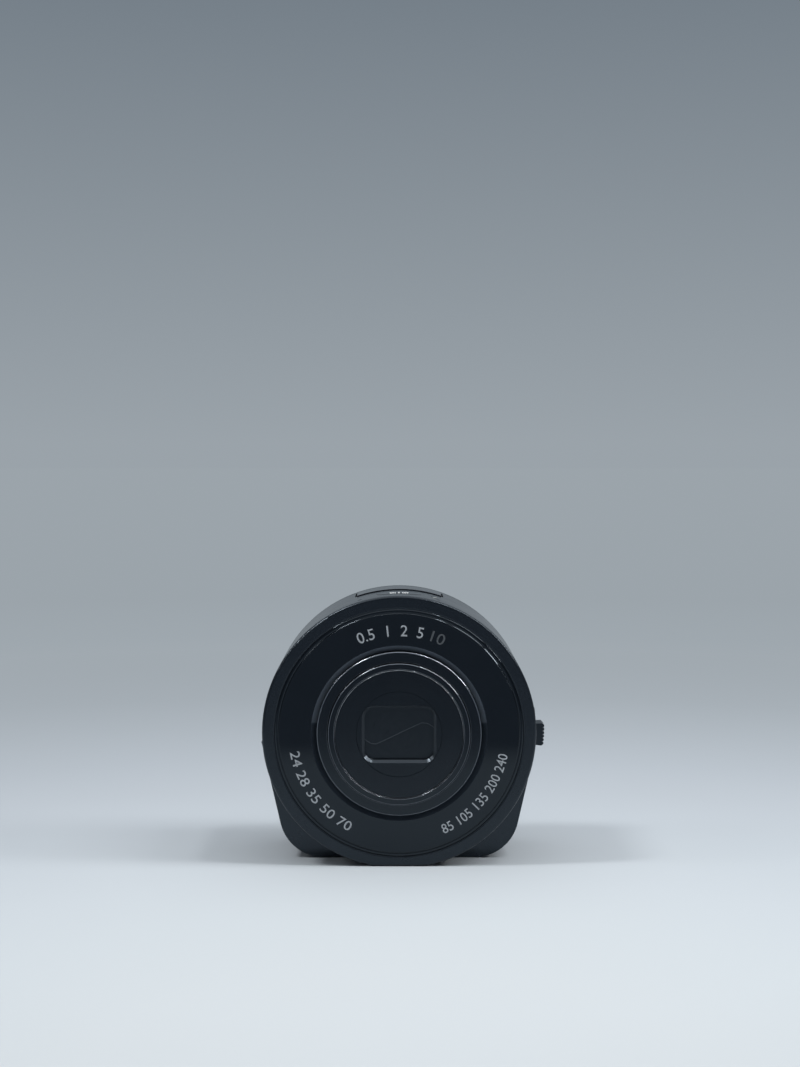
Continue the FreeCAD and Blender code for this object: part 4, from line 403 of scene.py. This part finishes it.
chipTop("chipTop").shade("board_chips", "shutter_switch", "zoom_switch", "power_switch", "usb_tongue")
sensorFace("sensorFace").shade("image_sensor")
displayFace("displayFace").shade("display_panel")
wrapLabel("batterySleeve").shade("battery")
chipTop("cardShell").shade("memory_card")
print("finishes on", sum(1 for node in nodes.values() if node.data.materials), "nodes")


# New pieces: the scales and the label, the blades' seam, the cut edges, the seal and the border

def addPiece(name, mesh, material):     # an object of this mesh, all in one material
    mesh.materials.clear()
    mesh.materials.append(material)
    piece = bpy.data.objects.new(name, mesh)
    bpy.context.scene.collection.objects.link(piece)
    return piece


def gridFaces(index):                   # the squares between neighbours in a grid of point numbers
    return np.stack([index[:-1, :-1], index[1:, :-1], index[1:, 1:], index[:-1, 1:]], -1).reshape(-1, 4)


# Each scale runs between two angles, in degrees from the top, or from the bottom for the lower ones
scales = {"ink": tinted(0.50, 0.53, 0.56), "dimInk": tinted(0.10, 0.11, 0.12), "thickness": 0.02 * mm,
          "face": -15.2 * mm, "weight": 0.002,
          "upper": {"words": "0.5  1  2  5", "cap": 2.5 * mm, "radius": 22.2 * mm,
                    "from": -23.8, "to": 13.6},
          "upperLast": {"words": "10", "cap": 2.5 * mm, "radius": 22.2 * mm, "from": 18.2, "to": 26.0},
          "lowerLeft": {"words": "24 28 35 50 70", "cap": 2.2 * mm, "radius": 25.2 * mm,
                        "from": -80.0, "to": -27.0},
          "lowerRight": {"words": "85 105 135 200 240", "cap": 2.2 * mm, "radius": 25.2 * mm,
                         "from": 24.0, "to": 78.7}}


def printedInk(name, color):            # slightly rough silk-screen ink
    paint = Paint(name, IOR=1.45)
    speck = paint.noise(5200, 2.0)
    dark = tuple(channel * 0.85 for channel in color[:3]) + (1.0,)
    paint.put("Base Color", paint.mix(speck, color, dark))
    paint.put("Roughness", 0.5 + speck * 0.12)
    return paint.material


def wordMesh(words, capHeight, thickness, weight):
    # Flat letters of the built-in font as corner places and faces, scaled to the capitals' height
    letters = bpy.data.curves.new("letters", "FONT")
    letters.body = words
    letters.align_x = "CENTER"
    letters.resolution_u = 3
    letters.extrude = 0.5
    letters.offset = weight
    holder = bpy.data.objects.new("letters", letters)
    bpy.context.scene.collection.objects.link(holder)
    bpy.context.view_layer.update()
    mesh = bpy.data.meshes.new_from_object(holder.evaluated_get(bpy.context.evaluated_depsgraph_get()))
    bpy.data.objects.remove(holder)
    places = np.empty(len(mesh.vertices) * 3)
    mesh.vertices.foreach_get("co", places)
    places = places.reshape(-1, 3)
    tall = places[:, 1].max() - max(places[:, 1].min(), 0.0)
    places[:, :2] *= capHeight / tall
    places[:, 2] = (places[:, 2] > 0) * thickness
    return mesh, places


def arcScale(name, words, ink, inward):
    # A letter's x runs along the arc as an angle from the top (or, inward, from the bottom),
    # its height runs out from the lens axis (or in towards it)
    start, end = math.radians(words["from"]), math.radians(words["to"])
    mesh, places = wordMesh(words["words"], words["cap"], scales["thickness"], scales["weight"])
    x, y, lift = places.T
    wide = x.max() - x.min()
    angle = (start + end) / 2 + (x - (x.max() + x.min()) / 2) * ((end - start) / wide)
    side = -1 if inward else 1
    reach = words["radius"] + side * y
    up = axisHeight + side * reach * np.cos(angle)
    mesh.vertices.foreach_set("co", np.stack([reach * np.sin(angle), scales["face"] - lift, up], 1).ravel())
    mesh.update()
    piece = addPiece(name, mesh, ink)
    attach(piece, "camera_body")


paleInk = printedInk("paleInk", scales["ink"])
dimInk = printedInk("dimInk", scales["dimInk"])
arcScale("upper_scale", scales["upper"], paleInk, False)
arcScale("upper_scale_last", scales["upperLast"], dimInk, False)
arcScale("lower_left_scale", scales["lowerLeft"], paleInk, True)
arcScale("lower_right_scale", scales["lowerRight"], paleInk, True)

topLabel = {"words": "ON  0  OFF", "wide": 4.4 * mm, "capHeight": 3.2 * mm, "y": -7.7 * mm,
            "radius": 31.24 * mm, "weight": 0.020, "ink": tinted(0.88, 0.90, 0.92)}


def roundLabel(name, look, ink):
    # A letter's x wraps round the casing as an angle from the top, its height runs to the rear
    mesh, places = wordMesh(look["words"], look["capHeight"], scales["thickness"], look["weight"])
    x, y, lift = places.T
    angle = (x - (x.max() + x.min()) / 2) * (look["wide"] / (x.max() - x.min())) / look["radius"]
    reach = look["radius"] + lift
    up = axisHeight + reach * np.cos(angle)
    mesh.vertices.foreach_set("co", np.stack([reach * np.sin(angle), look["y"] + y, up], 1).ravel())
    mesh.update()
    piece = addPiece(name, mesh, ink)
    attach(piece, "power_button")


roundLabel("power_label", topLabel, printedInk("labelInk", topLabel["ink"]))
print("scales and label made")


# the lip's colour, paler than the blades, is a painted highlight along the seam
lip = {"width": 0.15 * mm, "face": -15.4 * mm, "rise": 0.04 * mm, "color": tinted(0.046, 0.053, 0.062),
       "length": 200, "arc": 9,         # points along the seam, whose right half follows, and across it
       "seam": [(7.8, 1.30), (7.57, 1.59), (6.40, 2.30), (5.15, 2.42), (3.98, 1.89), (0.47, 0.24)]}


def bladeLip(look):
    # A low bead along the upper blade's edge: across it the height is a half circle, and along it
    # the middle follows the seam, which the left half repeats turned by half a turn
    half = np.array(look["seam"]) * mm
    corners = np.concatenate([half, -half[::-1]])
    steps = np.concatenate([[0], np.cumsum(np.hypot(*np.diff(corners, axis=0).T))])
    along = np.linspace(0, steps[-1], look["length"])
    x, up = np.interp(along, steps, corners[:, 0]), np.interp(along, steps, corners[:, 1])
    run = np.stack([np.gradient(x), np.gradient(up)], 1)
    run /= np.linalg.norm(run, axis=1, keepdims=True)
    turn = np.linspace(0, math.pi, look["arc"])
    across = np.cos(turn)[None] * look["width"] / 2 + look["width"] / 2
    u = x[:, None] + run[:, 1:] * across
    w = up[:, None] - run[:, :1] * across
    places = np.stack([u, look["face"] - np.sin(turn)[None] * look["rise"] + 0 * u, axisHeight + w], -1)
    index = np.arange(places.shape[0] * places.shape[1]).reshape(places.shape[:2])
    under = np.stack([index[:-1, -1], index[1:, -1], index[1:, 0], index[:-1, 0]], -1)
    ends = [index[0].tolist(), index[-1, ::-1].tolist()]
    mesh = bpy.data.meshes.new("blade_lip")
    mesh.from_pydata(places.reshape(-1, 3).tolist(), [], gridFaces(index).tolist() + under.tolist() + ends)
    # the bead is real relief; its paler colour is a painted highlight along the seam
    paint = Paint("lipSatinPaintedHighlight", IOR=1.5, Specular_Tint=blueGloss)
    speck = paint.noise(900, 2.0)
    paint.put("Base Color", paint.mix(speck * 0.4, look["color"], grey(0.05)))
    paint.put("Roughness", 0.3 + speck * 0.1)
    piece = addPiece("blade_lip", mesh, paint.material)
    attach(piece, "upper_blade")


bladeLip(lip)


# Each bead: its body, radius, y and width in mm, and the side of the edge that it rounds
# upper, lower and polished are the bright ends of painted highlights on the cut edges; shade is their dark
# end
beads = {"upper": tinted(0.38, 0.41, 0.45), "lower": tinted(0.24, 0.26, 0.29),
         "polished": tinted(0.80, 0.82, 0.85), "shade": tinted(0.13, 0.145, 0.165), "roughness": 0.14,
         "spread": (65.0, 95.0),        # degrees from the brighter end over which the painted highlight falls off
         "steps": 360, "quarter": 11, "half": 17,       # points round the axis and across a bead
         "barrel_edge": ("outer_barrel", 18.7, -16.0, 0.20, "out"),
         "barrel_lip": ("outer_barrel", 16.25, -16.0, 0.12, "in"),
         "inner_edge": ("inner_barrel", 16.1, -16.65, 0.14, "out"),
         "inner_lip": ("inner_barrel", 14.75, -16.65, 0.12, "in"),
         "cover_edge": ("inner_barrel", 14.56, -16.4, 0.07, "both"), "ridge": 0.22}      # its height


def cutEdgeWithPaintedHighlight(name, look, tone, upper):   # bare turned metal with a painted highlight: brighter over the upper or the lower half
    paint = Paint(name, Metallic=1.0)
    x, y, z = paint.axes()
    angle = x.maths("ABSOLUTE").maths("ARCTAN2", (z - axisHeight) * (1 if upper else -1)) * (180 / math.pi)
    away = angle.ramp(*look["spread"])
    fine = paint.noise(700, 2.0)
    # painted highlight: the bright tone over one half, fading to the dark shade away from it
    paint.put("Base Color", paint.mix(away, look[tone], look["shade"]))
    paint.put("Roughness", look["roughness"] + fine * 0.08)
    return paint.material


def turnedPiece(name, out, back, flat, material, body):
    # A closed section of (out, back) points, in mm, turned about the lens axis; the sides whose
    # numbers are in flat have no smoothing
    swing = np.arange(beads["steps"]) * (2 * math.pi / beads["steps"])
    x = np.sin(swing)[:, None] * out * mm
    z = np.cos(swing)[:, None] * out * mm + axisHeight
    places = np.stack([x, back * mm + 0 * x, z], -1)
    index = np.pad(np.arange(x.size).reshape(x.shape), ((0, 1), (0, 1)), "wrap")
    mesh = bpy.data.meshes.new(name)
    mesh.from_pydata(places.reshape(-1, 3).tolist(), [], gridFaces(index).tolist())
    smooth = np.ones(x.shape, bool)
    smooth[:, flat] = False
    mesh.polygons.foreach_set("use_smooth", smooth.ravel())
    piece = addPiece(name, mesh, material)
    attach(piece, body)


def edgeBead(name, look, material):
    # A round of small radius along an edge about the lens axis. Its section is an arc: a quarter
    # from the face to the side for an outer or inner edge, or a half ellipse standing on the face.
    body, radius, face, width, kind = look
    if kind == "both":
        turn = np.linspace(-math.pi / 2, math.pi / 2, beads["half"])
        out = np.append(radius + width * np.sin(turn), radius)
        back = np.append(face - beads["ridge"] * np.cos(turn), face + width * 0.5)
    else:
        side = 1 if kind == "out" else -1
        turn = np.linspace(0, math.pi / 2, beads["quarter"])
        out = np.append(radius - side * width + side * width * np.sin(turn), radius - side * width)
        back = np.append(face + width - width * np.cos(turn), face + width)
    flat = [len(out) - 1, len(out) - 2]
    if kind == "in":
        out, back, flat = out[::-1], back[::-1], [0, len(out) - 1]
    turnedPiece(name, out, back, flat, material, body)


seal = {"radius": 28.48, "face": -14.80, "half": 0.16, "rise": 0.05, "arc": 9,
        "color": tinted(0.010, 0.013, 0.018)}


def panelSeal(look):
    # Fills the seam round the glossy face: across it the front is a low arch, a parabola
    across = np.linspace(-1, 1, look["arc"])
    out = np.append(look["radius"] + look["half"] * across, look["radius"])
    back = np.append(look["face"] - look["rise"] * (1 - across ** 2), look["face"] + 0.3)
    paint = Paint("sealRubber", IOR=1.5, Specular_Tint=blueGloss)
    speck = paint.noise(800, 2.0)
    paint.put("Base Color", paint.mix(speck * 0.3, look["color"], grey(0.014)))
    paint.put("Roughness", 0.34 + speck * 0.1)
    flat = [look["arc"] - 1, look["arc"]]
    turnedPiece("panel_seal", out, back, flat, paint.material, "camera_body")


border = {"radii": (18.79, 18.79, gloss["cone"], 20.62, 20.62),
          "depths": (-13.9, -14.42, -15.205, -15.205, -14.6)}


def barrelSurround(look, material):
    # The face's inner border: level to the cone's edge, then the cone down to the barrel.
    # It wears the face's finish, so its cone carries the same painted reflection and painted shade.
    out, back = np.array(look["radii"]), np.array(look["depths"])
    turnedPiece("barrel_surround", out, back, [0, 1, 2, 3, 4], material, "camera_body")


panelSeal(seal)
barrelSurround(border, panelPaint.material)
# the cut edges' bright halves are painted highlights
upperHighlightCut = cutEdgeWithPaintedHighlight("upperHighlightCut", beads, "upper", True)
lowerHighlightCut = cutEdgeWithPaintedHighlight("lowerHighlightCut", beads, "lower", False)
for name in ("barrel_edge", "inner_edge"):
    edgeBead(name, beads[name], upperHighlightCut)
for name in ("barrel_lip", "inner_lip"):
    edgeBead(name, beads[name], lowerHighlightCut)
edgeBead("cover_edge", beads["cover_edge"], cutEdgeWithPaintedHighlight("polishedHighlightCut", beads, "polished", True))
print("seam, cut edges, seal and border made")


# Floor, backdrop, lights and camera

floorLook = {"size": 6.0, "drop": 0.0001, "grid": 25, "lit": 0.12, "far": 0.40, "centre": -0.14,
             "reach": 0.8, "tableEnd": (-0.17, -0.13), "beyond": tinted(0.27, 0.31, 0.37),
             # the stops paint a pool of light: brightest at the middle, darker outward
             "stops": [(0.0, tinted(0.625, 0.665, 0.69)), (0.06, tinted(0.62, 0.66, 0.685)),
                       (0.11, tinted(0.60, 0.645, 0.675)), (0.147, tinted(0.58, 0.625, 0.66)),
                       (0.215, tinted(0.525, 0.57, 0.61)), (0.27, tinted(0.48, 0.52, 0.56)),
                       (0.325, tinted(0.445, 0.485, 0.525)), (0.40, tinted(0.410, 0.450, 0.487)),
                       (0.48, tinted(0.380, 0.420, 0.455)), (0.74, tinted(0.345, 0.388, 0.424)),
                       (1.0, tinted(0.33, 0.371, 0.405))]}
backLook = {"horizon": tinted(0.325, 0.365, 0.40), "high": tinted(0.18, 0.215, 0.25), "top": 14.4,
            "room": tinted(0.12, 0.14, 0.17), "front": (-0.25, 0.35), "ceiling": (0.45, 0.6),
            "fill": tinted(0.13, 0.14, 0.155)}


def ray(paint, kind):                   # 1 for a ray of this kind
    return paint.node("ShaderNodeLightPath", {}, {}, kind)


def seen(paint):                        # 1 for what the camera, a mirror or glass sees
    direct, mirrored, through = [
        ray(paint, kind) for kind in ("Is Camera Ray", "Is Glossy Ray", "Is Transmission Ray")]
    return direct.most(mirrored).most(through)


def makeFloor(look):
    # A level square grid, a hair under the object. Its colour is a painted pool of light, brightest near
    # the object and darker outward; near it the lamps light it, further out it is a plain glow of that
    # colour
    steps = np.linspace(-look["size"], look["size"], look["grid"])
    u, v = np.meshgrid(steps, steps, indexing="ij")
    places = np.stack([u, v, np.full_like(u, -look["drop"])], -1).reshape(-1, 3)
    index = np.arange(u.size).reshape(u.shape)
    mesh = bpy.data.meshes.new("floor")
    mesh.from_pydata(places.tolist(), [], gridFaces(index).tolist())
    paint = Paint("paleFloor", Roughness=0.9, Specular_IOR_Level=0.0)
    x, y, z = paint.axes()
    ahead = y - look["centre"]
    spread = (x * x + ahead * ahead).maths("SQRT").ramp(0.0, look["reach"])
    # painted pool of light: the colour falls off with distance from the object
    tone = paint.node("ShaderNodeValToRGB", {"stops": look["stops"]}, {0: spread})
    paint.put("Base Color", tone)
    away = (x * x + y * y).maths("SQRT").ramp(look["lit"], look["far"])
    beyond = (1 - y.ramp(*look["tableEnd"])) * ray(paint, "Is Glossy Ray")
    glowColor = paint.mix(beyond, tone, look["beyond"])
    glow = paint.node("ShaderNodeEmission", {}, {"Color": glowColor, "Strength": 1.0})
    factor = away.most(beyond) * seen(paint)
    lit = Wire(paint, paint.shader.outputs[0])
    mixed = paint.node("ShaderNodeMixShader", {}, {0: factor, 1: lit, 2: glow})
    paint.feed(paint.tree.nodes["Material Output"].inputs["Surface"], mixed)
    floor = addPiece("floor", mesh, paint.material)


def makeWorld(look):                    # a backdrop, a darker room in front of it, and plain fill light
    world = bpy.data.worlds.new("studio")
    bpy.context.scene.world = world
    world.use_nodes = True
    paint = Wiring(world.node_tree, "Generated")
    x, y, z = paint.axes()
    rise = z.ramp(0.0, math.sin(math.radians(look["top"])))
    backdrop = paint.mix(rise, look["horizon"], look["high"])
    ahead = (1 - y.ramp(*look["front"])).most(z.ramp(*look["ceiling"]))
    room = paint.mix(ahead * ray(paint, "Is Glossy Ray"), backdrop, look["room"])
    light = paint.mix(seen(paint), look["fill"], room)
    paint.feed(paint.tree.nodes["Background"].inputs["Color"], light)


middle = Vector((0.0, 0.0, axisHeight))


def softbox(name, place, width, height, power, tint=(1.0, 1.0, 1.0)):      # aimed at the middle
    lamp = bpy.data.lights.new(name, "AREA")
    lamp.shape = "RECTANGLE"
    lamp.size = width
    lamp.size_y = height
    lamp.energy = power
    lamp.color = tint
    holder = bpy.data.objects.new(name, lamp)
    holder.location = place
    holder.rotation_euler = (middle - Vector(place)).to_track_quat("-Z", "Y").to_euler()
    bpy.context.scene.collection.objects.link(holder)


# Each lamp: its place and size in m, its power in W, and its tint where it isn't white
lamps = {"overhead": ((0.0, 0.0, 0.90), 1.2, 1.2, 4.6, (0.96, 0.98, 1.0)),
         "left_upper": ((-0.44, -0.126, 0.747), 0.10, 0.16, 2.0),
         "left_lower": ((-0.68, -0.094, 0.53), 0.10, 0.20, 0.5),
         "right_upper": ((0.296, -0.134, 0.815), 0.08, 0.08, 0.9),
         "right_middle": ((0.534, -0.117, 0.681), 0.22, 0.30, 1.7),
         "right_lower": ((0.71, -0.09, 0.486), 0.16, 0.16, 1.7)}
makeFloor(floorLook)
makeWorld(backLook)
for name, box in lamps.items():
    softbox(name, *box)

# The camera's place in m, how far it looks down in degrees, its lens and sensor in mm
cameraLook = {"place": (0.0002, -0.3968, 0.0964), "pitch": 3.07, "lens": 57.2, "sensor": 36.0}
view = bpy.data.cameras.new("front_view")
view.sensor_fit = "VERTICAL"
view.sensor_height = cameraLook["sensor"]
view.lens = cameraLook["lens"]
view.clip_start = 0.01
camera = bpy.data.objects.new("front_view", view)
camera.location = cameraLook["place"]
camera.rotation_euler = (math.radians(90 - cameraLook["pitch"]), 0.0, 0.0)
bpy.context.scene.collection.objects.link(camera)
bpy.context.scene.camera = camera
bpy.context.scene.view_settings.view_transform = "Standard"
print("stage, lights and camera set")
